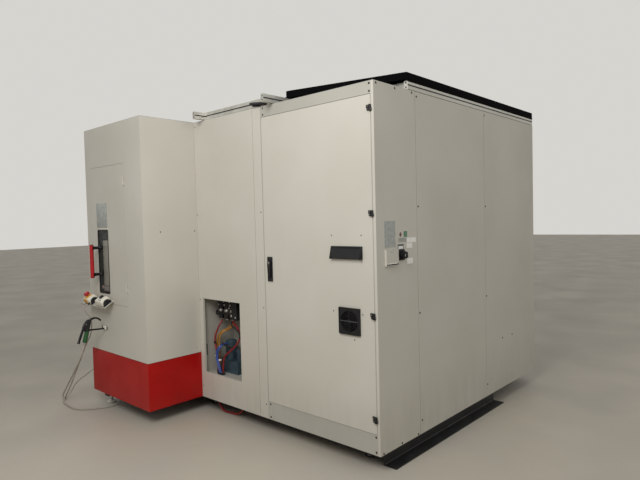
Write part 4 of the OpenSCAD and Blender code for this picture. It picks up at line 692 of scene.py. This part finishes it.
# Holder: screwed foot, round arm and a spring clip round the gun
footZ = gun["place"][2] - 13
addBlock((-2669, -510, footZ - 10), (-2558, boxFront, footZ + 25), 1.5, 2, 1)
addBlock((-2622, -522, footZ - 8), (-2578, -509, footZ + 22), 3.0, 2, 2)
for x in (-2655, -2570):
    addScrew((x, -510, footZ + 8), frontward, 11)
armStart, armEnd = Vector((-2600, -509, footZ)), Vector((-2600, -649.5, 720))
addTube([armStart.lerp(armEnd, k / 6) for k in range(7)], lambda i: 11 if i == 0 else 7.6, 16)
addArcBand(17.3, 23.6, -8, 8, -50, 230, onGun, 24, 0, 1.2)
makePiece("gunHolder", [nylonBlack, zincSteel, absCream], "gun_holder")
print("coolant gun made")


# Panel screws: domed black heads with a round recess, by place, direction and width
sideScrews = [(27, 2337), (230, 2335), (428, 2337), (485, 2319), (1504, 2320), (484, 1575), (1504, 1577),
              (484, 843), (1504, 837), (489, 94), (1504, 98), (34, 10), (239, 12), (437, 11), (1802, 435),
              (2002, 432)]
boxSide, rearFace, leftFace, panelLow = -1899.0, 2525, -2875, plan["panelLow"]
screws = [((0, y, panelLow + z), rightward, 14.0) for y, z in sideScrews]
screws += [((x, 0, panelLow + z), frontward, 14.0) for x in (-1020, -32) for z in (20, 117, 2287, 2335)]
screws += [((boxSide, y, z), rightward, 10) for y, z in ((-353, 1554), (-29, 1552), (-416, 492), (-40, 492))]
screws += [((x, boxFront, 491), frontward, 9) for x in (-2790, -2401, -1966)]
screws += [((-1884, 0, z), frontward, 9) for z in (2430, 1687, 962, 218)]
screws += [((-1068, 0, z), frontward, 9) for z in (1688, 966, 228)]
for z in (40, 2310):
    screws += [((x, rearFace, panelLow + z), (0, 1, 0), 14.0) for x in (-2815, -1437.5, -60)]
    screws += [((leftFace, y, panelLow + z), (-1, 0, 0), 14.0) for y in (60, 1550, 2465)]
for place, direction, width in screws:
    addScrew(place, direction, width)
makePiece("panelScrews", [screwBlack], "panel_screws")


# Roof cover: pleated coated cloth over hoops, its front edge cut on a slant, with a flap and a sewn hem
cover = {"left": -918.0, "z": 2533.0, "height": 54.0, "fold": 9.5, "pleat": 44.0, "rear": 2519.0,
         "front": 372.0, "slant": 227.0, "columns": 24, "rows": 6, "cloth": 1.2, "band": 60.0,
         "flapMiddle": 18.0}
coverLeft, coverRear, coverLow = cover["left"], cover["rear"], cover["z"]


def coverFront(x):
    return cover["front"] - cover["slant"] * x / coverLeft


# Height of the cloth: sharp pleats inside a flat band along the edges, with a slight sag between the hoops
def coverTop(x, y):
    turn = (coverRear - y) / cover["pleat"]
    ridge = (0.5 - 0.5 * math.cos(2 * math.pi * turn)) ** 0.8
    inset = min(x - coverLeft, -x, y - coverFront(x), coverRear - y)
    loose = min(1, max(0, inset) / cover["band"])
    sag = 1.1 * math.sin(3 * math.pi * x / coverLeft + 0.6 * math.floor(turn))
    sag += 0.5 * math.sin(x * 0.031 + y * 0.017)
    return coverLow + cover["height"] - 1.6 - loose * (cover["fold"] * (1 - ridge) + sag)


part = bmesh.new()
rowCount = int((coverRear - cover["front"] + cover["slant"]) / cover["pleat"] * cover["rows"])
columns = []
for i in range(cover["columns"] + 1):
    x = coverLeft - coverLeft * i / cover["columns"]
    rows = [max(coverRear - k * cover["pleat"] / cover["rows"], coverFront(x)) for k in range(rowCount + 1)]
    columns.append([part.verts.new((x, y, coverTop(x, y))) for y in rows])
for one, two in zip(columns, columns[1:]):
    for k in range(rowCount):
        part.faces.new((one[k], one[k + 1], two[k + 1], two[k]))
rim = columns[0] + [column[-1] for column in columns[1:]]
rim += columns[-1][-2::-1] + [column[0] for column in columns[-2:0:-1]]
rims = [rim]
for level, ripple in ((cover["height"] - 6, 0.0), (cover["flapMiddle"], 0.0), (0.4, 0.8)):
    rims.append([part.verts.new((x, y, coverLow + level + ripple * math.sin(x * 0.05 + y * 0.043) ** 2))
                 for x, y in (vert.co.xy for vert in rim)])
joinLoops(part, rims)
bmesh.ops.remove_doubles(part, verts=part.verts[:], dist=0.01)
bmesh.ops.recalc_face_normals(part, faces=part.faces)
bmesh.ops.solidify(part, geom=part.faces[:], thickness=cover["cloth"])
mergePart(part)
coverPiece = makePiece("roofCover", [clothBlack], "roof_cover", sharpAngle=60)
addBlock((0.2, cover["front"], coverLow - 8), (2.2, coverRear, coverLow + 9), 0.6, 1)
addTube([Vector((x, coverFront(x) - 0.6, coverLow + 5)) for x in (coverLeft, -460, 0.0)], 3.5, 10)
hemPiece = makePiece("roofCoverHem", [clothBlack])

# Black strips along the slots where the two tubes of each roof rail meet: painted shade of the slots
rail = {"half": 15.0, "middle": 2503.0, "inner": -918.0, "outer": -1764.0, "front": -91.0, "crossFront": 7.0}
slotShadeLoop = [(-0.3, -4.5), (0.7, -4.5), (0.7, -1.4), (0.2, -0.7), (0.2, 0.7), (0.7, 1.4), (0.7, 4.5),
             (-0.3, 4.5)]


def addRailSlotShade(x, y, outward, length):
    turn = Matrix((outward, (0, 0, 1), Vector(outward).cross((0, 0, 1)))).transposed().to_4x4()
    addPrism(slotShadeLoop, length, shifted(x, y, rail["middle"]) @ turn, 0.15, 1)


addRailSlotShade(0, coverRear, rightward, coverRear - 387)
for x, rightEnd, leftEnd in ((rail["inner"], 400, 4), (rail["outer"], 4, 2400)):
    addRailSlotShade(x + rail["half"], rightEnd, rightward, rightEnd - rail["front"])
    addRailSlotShade(x - rail["half"], rail["front"], (-1, 0, 0), leftEnd - rail["front"])
addRailSlotShade(rail["inner"] - rail["half"] - 1, rail["crossFront"], frontward,
             rail["inner"] - rail["outer"] - 2 * rail["half"] - 2)
makePiece("railSlotShade", [rubberBlack])

# Two corrugated conduits on the roof's front edge
conduits = [[(-1130, -20, 2500), (-1085, -24, 2495), (-1030, -18, 2489), (-985, 6, 2486), (-965, 70, 2486)],
            [(-1135, 10, 2496), (-1090, 8, 2491), (-1045, 16, 2486), (-1010, 40, 2486), (-998, 90, 2486)]]
for conduit in conduits:
    addTube(smoothRoute(conduit, 22), lambda i: 11.5 if i % 2 else 9.6, 14)
makePiece("roofConduits", [rubberBlack])
print("roof dressed")


# Air outlet on the cabinet door: recessed face between two cheeks and a top rim, open below with two slats
hood = {"x": (-370.0, -109.0), "z": (1361.0, 1445.0), "low": 30.0, "high": 9.0, "cheek": 11.0, "rim": 14}
hoodLeft, hoodRight = hood["x"]
zLow, zHigh = hood["z"]
low, high = hood["low"], hood["high"]
rimZ, lean = zHigh - hood["rim"], (low - high) / (zHigh - zLow)
innerLeft, innerRight = hoodLeft + hood["cheek"] - 1, hoodRight - hood["cheek"] + 1
cheekLoop = [(0, zLow), (-low, zLow), (-high, zHigh), (0, zHigh)]
faceLoop = [(4 - low, zLow + 5), (7.5 - low, zLow + 5), (-high - 1, rimZ), (-high - 4, rimZ)]
rimLoop = [(0, rimZ), (-high - hood["rim"] * lean, rimZ), (-high, zHigh), (0, zHigh)]
for x in (hoodLeft, hoodRight - hood["cheek"]):
    addPrism(cheekLoop, hood["cheek"], shifted(x, 0, 0) @ sideTurn, 2.0, 2)
for loop, radius, steps, finishIndex in ((faceLoop, 0.6, 1, 1), (rimLoop, 1.5, 2, 0)):
    addPrism(loop, innerRight - innerLeft, shifted(innerLeft, 0, 0) @ sideTurn, radius, steps, finishIndex)
for y in (-18, -9):
    addBlock((innerLeft, y, zLow + 1), (innerRight, y + 2, zLow + 16), 0.6, 1)
makePiece("airOutlet", [nylonGloss, nylonBlack], "vent_hood", "cabinet_door")

# Fan guard: fine wire rings, a bright cross bar and four screws over the moulded frame
fan = {"x": -224.0, "z": 957.0, "half": 87.5, "proud": 12.2, "screws": 72, "bar": 74, "rim": 7}
fanX, fanZ, fanHalf, fanIn = fan["x"], fan["z"], fan["half"], fan["half"] - fan["rim"]
for radius in (18, 26, 34, 42, 50, 58, 66, 73):
    wire = [(radius - 1.1, 0), (radius - 0.6, 1.2), (radius + 0.6, 1.2), (radius + 1.1, 0), (radius - 1.1, 0)]
    addLathe(wire, shifted(fanX, -fan["proud"], fanZ) @ upright, 48)
addBlock((fanX - fan["bar"], -15, fanZ - 3.5), (fanX + fan["bar"], -12.3, fanZ + 3.5), 1.2, 2, 1)
addBlock((fanX - 3, -14, fanZ - fan["bar"]), (fanX + 3, -12.3, fanZ + fan["bar"]), 1.0, 1)
addFrame(cornerLoop((fanX - fanHalf, fanZ - fanHalf), (fanX + fanHalf, fanZ + fanHalf), fan["rim"]),
         cornerLoop((fanX - fanIn, fanZ - fanIn), (fanX + fanIn, fanZ + fanIn), 4), 12.05, 14.2, upright)
for sx in (-1, 1):
    for sz in (-1, 1):
        addScrew((fanX + sx * fan["screws"], -12.1, fanZ + sz * fan["screws"]), frontward, 7, 2)
makePiece("fanGrille", [nylonBlack, driveGrey, screwBlack], body="cabinet_door")

# Cabinet hinges: square blocks over the seam, one half on the post and one on the door, with plated screws
hinge = {"z": (329.0, 986.0, 1632.0, 2284.0), "pinX": -24.0, "pinY": -9.0,
         "screw": [(0, 0), (3.4, 0), (3.2, 0.9), (1.7, 1.2), (1.7, 0.4), (0, 0.4)]}
for z in hinge["z"]:
    addLathe([(0, 0), (7.4, 0), (8.3, 1), (8.3, 17.6), (7.4, 18.6), (0, 18.6)],
             shifted(hinge["pinX"], hinge["pinY"], z + 0.8), 28)
    addBlock((-24, -8, z + 1), (-13, -0.4, z + 19.2), 1.6, 3)
    addLathe([(0, 0), (2.9, 0), (2.9, 17), (2.2, 18.6), (0, 19)],
             shifted(hinge["pinX"], hinge["pinY"], z + 19.2), 16, 1)
    addLathe(hinge["screw"], onFront(-15.6, -7.9, z + 10), 10, 1)
makePiece("hingePostHalves", [nylonBlack, zincSteel], "cabinet_hinges")
for z in hinge["z"]:
    addBlock((-47, -12.5, z + 4), (-33.2, -0.4, z + 37), 2.2, 3)
    for level in (11, 30):
        addLathe(hinge["screw"], onFront(-40, -12.4, z + level), 14, 1)
makePiece("hingeDoorHalves", [nylonBlack, zincSteel], body="cabinet_door")

# Small plugged holes round the outlet and the fan
for x, z in ((-368, 1515), (-119, 1515), (-366, 1011), (-118, 1009), (-190, 838)):
    addLathe([(4.6, 0), (4.6, 0.5), (3.2, 1.2), (0, 1.4)], onFront(x, 0, z), 16)
makePiece("doorPlugs", [driveGrey], body="cabinet_door")
print("cabinet door dressed")


# Main switch: collar and a rotary grip with a lock hole, on the plate of the CAD
switch = {"y": 270.0, "z": 1377.0, "gripWidth": 16}
onSwitch = shifted(0, switch["y"], switch["z"]) @ turned(90, "Y")
addLathe([(0, 2), (5, 2), (5, 10.3), (21, 10.3), (22, 11.5), (22, 16.5), (20.5, 18), (0, 18)], onSwitch, 36)
gripLoop = [(-26, 10.3), (26, 10.3), (27, 14), (24, 34), (19, 45), (14, 48), (-14, 48), (-19, 45), (-24, 34),
            (-27, 14)]
holeLoop = [(-11, 24), (11, 24), (12, 26), (11, 33), (8, 39), (6, 41), (-6, 41), (-8, 39), (-11, 33),
            (-12, 26)]
addFrame(gripLoop, holeLoop, 0, switch["gripWidth"],
         onSwitch @ shifted(0, switch["gripWidth"] / 2, 0) @ upright)
makePiece("mainSwitchKnob", [nylonBlack], "main_switch_knob", "main_switch_knob")


# Cabinet handle: rounded lever on its boss with a steel lock cylinder
latch = {"x": -980.0, "pivot": 1310.0, "boss": 17, "tip": 12, "length": 96}
onLatch = shifted(latch["x"], 0, latch["pivot"]) @ upright
leverLoop = [onCircle(latch["boss"], a) for a in range(-10, 191, 20)]
leverLoop += [(x, y - latch["length"]) for x, y in (onCircle(latch["tip"], a) for a in range(190, 371, 20))]
addPrism(leverLoop, 12, onLatch @ shifted(0, 0, 8.3), 3.0, 3)
addLathe([(0, -32), (8, -32), (8, 9), (0, 9)], onLatch, 20)
addLathe([(0, 20), (9, 20), (9.6, 20.6), (9, 21.6), (5, 21.8), (0, 21.4)], onLatch, 24, 1)
addBlock((latch["x"] - 32, 28, latch["pivot"] - 9), (latch["x"] + 6, 32, latch["pivot"] + 9), 1.0, 1, 1)
makePiece("swingHandle", [nylonBlack, zincSteel], "swing_handle", "swing_handle")


# Bare plates and labels where the real ones carry text
sidePlate = {"y": (87, 204), "z": (1436, 1602), "thick": 1.2, "rivets": 6}
(plateFront, plateRear), (plateLow, plateTop) = sidePlate["y"], sidePlate["z"]
addBlock((0, plateFront, plateLow), (sidePlate["thick"], plateRear, plateTop), 0.2, 1)
for y in (plateFront + sidePlate["rivets"], plateRear - sidePlate["rivets"]):
    for z in (plateLow + sidePlate["rivets"], plateTop - sidePlate["rivets"]):
        addLathe([(2.8, 0), (2.8, 0.8), (1.5, 1.5), (0, 1.6)],
                 facing((sidePlate["thick"], y, z), rightward), 12)
makePiece("sidePlate", [plateMetal])
addPrism([(15.5, 0), (0, 17), (-15.5, 0), (0, -17)], 0.5, shifted(0, 264.5, 1511) @ turned(90, "Z") @ upright,
         0.15, 1)
makePiece("sideLabelRed", [vinylRed])
labels = {
    "sideLabelGreen": ("pump_paint", vinylGreen, (0, 302, 1493), (0.5, 343, 1532)),
    "sideLabelGrey": ("pocket_grey", vinylGrey, (0, 239, 1461), (0.6, 333, 1488)),
    "sideLabelWhiteA": ("cream_plastic", paper, (0, 338, 1454), (0.5, 449, 1487)),
    "sideLabelWhiteB": ("cream_plastic", paper, (0, 336, 1418), (0.5, 402, 1450)),
    "sideLabelWhiteC": ("cream_plastic", paper, (0, 338, 1312), (0.5, 406, 1350)),
    "switchLabelEdge": ("black_plastic", driveGrey, (0, 232, 1405), (0.4, 298, 1447)),
    "switchLabel": ("cream_plastic", paper, (0.2, 238, 1416), (0.9, 292, 1436)),
}
for name, (slotName, material, low, high) in labels.items():
    addBlock(low, high, 0.2, 1)
    makePiece(name, [material])

# Papers in the document pocket, with their edges fanned and creased, the slot's shadow painted as a black
# sheet, and a torn edge
papers = {"low": 1318, "steps": 12, "first": 4.2, "apart": 2.4,
          "sheets": ((92, 214, 1414), (95, 216, 1419), (90, 211, 1410))}
for k, (left, right, top) in enumerate(papers["sheets"]):
    sheetPart = bmesh.new()
    columns = []
    for share in (i / papers["steps"] for i in range(papers["steps"] + 1)):
        wave = 0.9 * math.sin(share * 9 + k * 2)
        y = left + (right - left) * share
        x = papers["first"] + papers["apart"] * k
        columns.append([sheetPart.verts.new((x + wave * 0.5, y, papers["low"])),
                        sheetPart.verts.new((x + wave, y, top + 3 * math.sin(share * 5 + k)))])
    for one, two in zip(columns, columns[1:]):
        sheetPart.faces.new((one[0], two[0], two[1], one[1]))
    bmesh.ops.solidify(sheetPart, geom=sheetPart.faces[:], thickness=0.4)
    mergePart(sheetPart)
# Painted shadow in the pocket's slot: a black sheet with a wavy upper edge
slotShadowEdge = [(y, 1324 + 5 * math.sin(y * 0.21) + 0.03 * (y - 96)) for y in range(92, 215, 4)]
addPrism([(86, 1319)] + slotShadowEdge + [(219, 1319)], 1.2, shifted(13.6, 0, 0) @ sideTurn, 0, 1, 1)
torn = [(y, 1329 + 5 * math.sin(y * 0.21) + 2 * math.sin(y * 0.9)) for y in range(98, 212, 3)]
addPrism([(94, 1326)] + torn + [(212, 1326)], 0.8, shifted(14.6, 0, 0) @ sideTurn)
makePiece("pocketPapers", [paper, rubberBlack])
print("side fittings made")


# Levelling feet: rubber pad, white cone and a plated spindle; the two feet of the front box have white pads
feet = {"x": (-2655, -1960.5, -230), "y": (198, 840, 1490), "top": 28,
        "front": ((-2765, -396), (-2330, -150)), "frontTop": 60}
spots = [(x, y, feet["top"], 0) for x in feet["x"] for y in feet["y"]]
spots += [(x, y, feet["frontTop"], 1) for x, y in feet["front"]]
for x, y, top, padFinish in spots:
    place = shifted(x, y, 0)
    addLathe([(0, 0), (39, 0), (40, 1), (40, 9), (38, 11), (30, 12), (0, 12)], place, 32, padFinish)
    addLathe([(30, 11.8), (28, 13), (17, 19), (14, 20), (0, 20)], place, 28, 1)
    addLathe([(0, 20), (12, 20), (12, top), (0, top)], place, 20, 2)
makePiece("levellingFeet", [rubberBlack, absCream, zincSteel], "levelling_feet")


# Service opening: steel fittings on the valves, clamps round the hoses, a black cable and the pump's details
valveY, valveTop = service["valveY"], service["top"] - 8
for x in (hoseX + 78 * k for k in range(3)):
    addHexNut(34, 14, shifted(x, valveY, valveTop - 186))
    addLathe([(26.3, -118), (27.5, -116), (27.5, -98), (26.3, -96)], shifted(x, valveY, valveTop), 28)
    addLathe([(0, 0), (10, 0), (10, 6), (7, 9), (0, 9)], onFront(x, valveY - 26, valveTop - 55), 20)
    addHexNut(22, 9, onFront(x, valveY - 31, valveTop - 20))
cable = [(-1660, 150, 778), (-1632, 130, 746), (-1560, 118, 722), (-1508, 110, 694), (-1503, 106, 656),
         (-1532, 110, 612), (-1600, 118, 566), (-1660, 130, 548), (-1720, 150, 552)]
shortHose = [(-1760, 128, 575), (-1725, 122, 566), (-1680, 124, 560), (-1645, 140, 556)]
addTube(smoothRoute(cable, 6), 6.0, 12, 1)
addTube(smoothRoute(shortHose, 6), 8.0, 12, 1)
addBlock((-1634, 128, 790), (-1560, 186, 966), 4.0, 2, 1)
addBlock((-1792, 140, 826), (-1636, 178, 858), 4.0, 2, 1)
onSolenoid = facing((-1846, 146, 836), rightward)
addLathe([(0, 0), (20, 0), (24, 4), (24, 46), (20, 50), (0, 50)], onSolenoid, 28, 1)
addLathe([(0, -2), (11, -2), (15, -1), (15, 1), (11, 1)], onSolenoid, 24)
for x, y, z, r in ((-1654, 118, 890, 8), (-1631, 122, 826, 12), (-1580, 124, 815, 8)):
    addLathe([(0, 0), (r, 0), (r, 5), (r * 0.7, 8), (0, 8)], onFront(x, y + 8, z), 20)
    addHexNut(r * 2.3, 4, onFront(x, y + 10, z))
clamps = ((-1821, 92, 584, 9, 1), (-1812, 94, 468, 8, 2), (-1708, 56, 454, 9, 2), (-1789, 92, 413, 9, 3),
          (-1790, 92, 520, 10, 1))
for x, y, z, wide, finishIndex in clamps:
    addBlock((x - wide, y - wide - 2, z - 7), (x + wide, y + wide, z + 7), 2.5, 2, finishIndex)
for x, y, r in ((-1783, 94, 12), (-1703, 80, 12), (-1825, 120, 11), (-1799, 123, 11)):
    addHexNut(2 * r, 20, shifted(x, y, service["floor"] + 1), 1)
addBlock((-1738, 47, service["floor"] + 0.7), (-1692, 69, service["floor"] + 22), 3.0, 2, 1)
# Flat black patches on the left inner wall: three dashes of painted shade where the wall has a row of holes,
# and a tall dark strip near its front
for y, z, deep, tall in ((267, 538, 16, 7), (294, 538, 16, 7), (320, 538, 16, 7), (38, 474, 12, 98)):
    addBlock((-1876.8, y, z), (-1876.2, y + deep, z + tall), 0.2, 1, 1)
makePiece("serviceFittings", [zincSteel, rubberBlack, absCream, tubePink])
pump = {"x": service["left"] + 78, "y": 228, "z": 431, "fins": 7, "first": 16, "apart": 18}
for k in range(pump["fins"]):
    addLathe([(48, 0), (52, 0.8), (52, 5.2), (48, 6)],
             shifted(pump["x"], pump["y"], pump["z"] + pump["first"] + pump["apart"] * k), 28)
pumpCap = [(0, 149.5), (40, 149.5), (38, 156), (30, 160), (0, 161)]
addLathe(pumpCap, shifted(pump["x"], pump["y"], pump["z"]), 28)
makePiece("pumpFins", [pumpEnamel])
print("service opening dressed")


# Floor of trowelled concrete, pale and dull with broad soft patches, then backdrop and soft light
stage = {"floor": ("#B9B1A2", "#B1ABA0"), "floorHalf": 40, "world": 0.41, "backdrop": 0.85}
bmesh.ops.create_grid(draft, x_segments=1, y_segments=1, size=stage["floorHalf"])
floorMesh = bpy.data.meshes.new("floor")
draft.to_mesh(floorMesh)
draft.free()
floorMesh.materials.append(plainFinish("concretePale", stage["floor"], 900, (0.5, 0.65), 20, 0.1))
floorObject = bpy.data.objects.new("floor", floorMesh)
scene.collection.objects.link(floorObject)
floorObject.location.z = -0.0005

world = bpy.data.worlds.new("paleRoom")
scene.world = world
world.use_nodes = True
tree = world.node_tree
tree.nodes.clear()
path = addNode(tree, "ShaderNodeLightPath")
seen = addNode(tree, "ShaderNodeMath", {"operation": "MAXIMUM"},
               links={0: path.outputs["Is Camera Ray"], 1: path.outputs["Is Glossy Ray"]})
lit = addNode(tree, "ShaderNodeBackground", values={"Color": hexColor("#F2F1EE"), "Strength": stage["world"]})
shown = addNode(tree, "ShaderNodeBackground",
                values={"Color": hexColor("#E6E4DF"), "Strength": stage["backdrop"]})
mixed = addNode(tree, "ShaderNodeMixShader",
                links={0: seen.outputs[0], 1: lit.outputs[0], 2: shown.outputs[0]})
addNode(tree, "ShaderNodeOutputWorld", links={"Surface": mixed.outputs[0]})

lamps = {
    "keyLamp": {"place": (300, -2700, 3500), "aim": (-1100, 0, 1000), "size": 1.8, "power": 92.0},
    "fillLamp": {"place": (4200, 500, 3800), "aim": (0, 1200, 1200), "size": 3.2, "power": 33.0},
}
for name, lamp in lamps.items():
    data = bpy.data.lights.new(name, "AREA")
    data.size = lamp["size"]
    data.energy = lamp["power"]
    lampObject = bpy.data.objects.new(name, data)
    place = at(*lamp["place"])
    aimTurn = (at(*lamp["aim"]) - place).to_track_quat("-Z", "Y").to_matrix().to_4x4()
    lampObject.matrix_world = Matrix.Translation(place) @ aimTurn
    scene.collection.objects.link(lampObject)
scene.view_settings.view_transform = "Standard"
print("stage and light set")
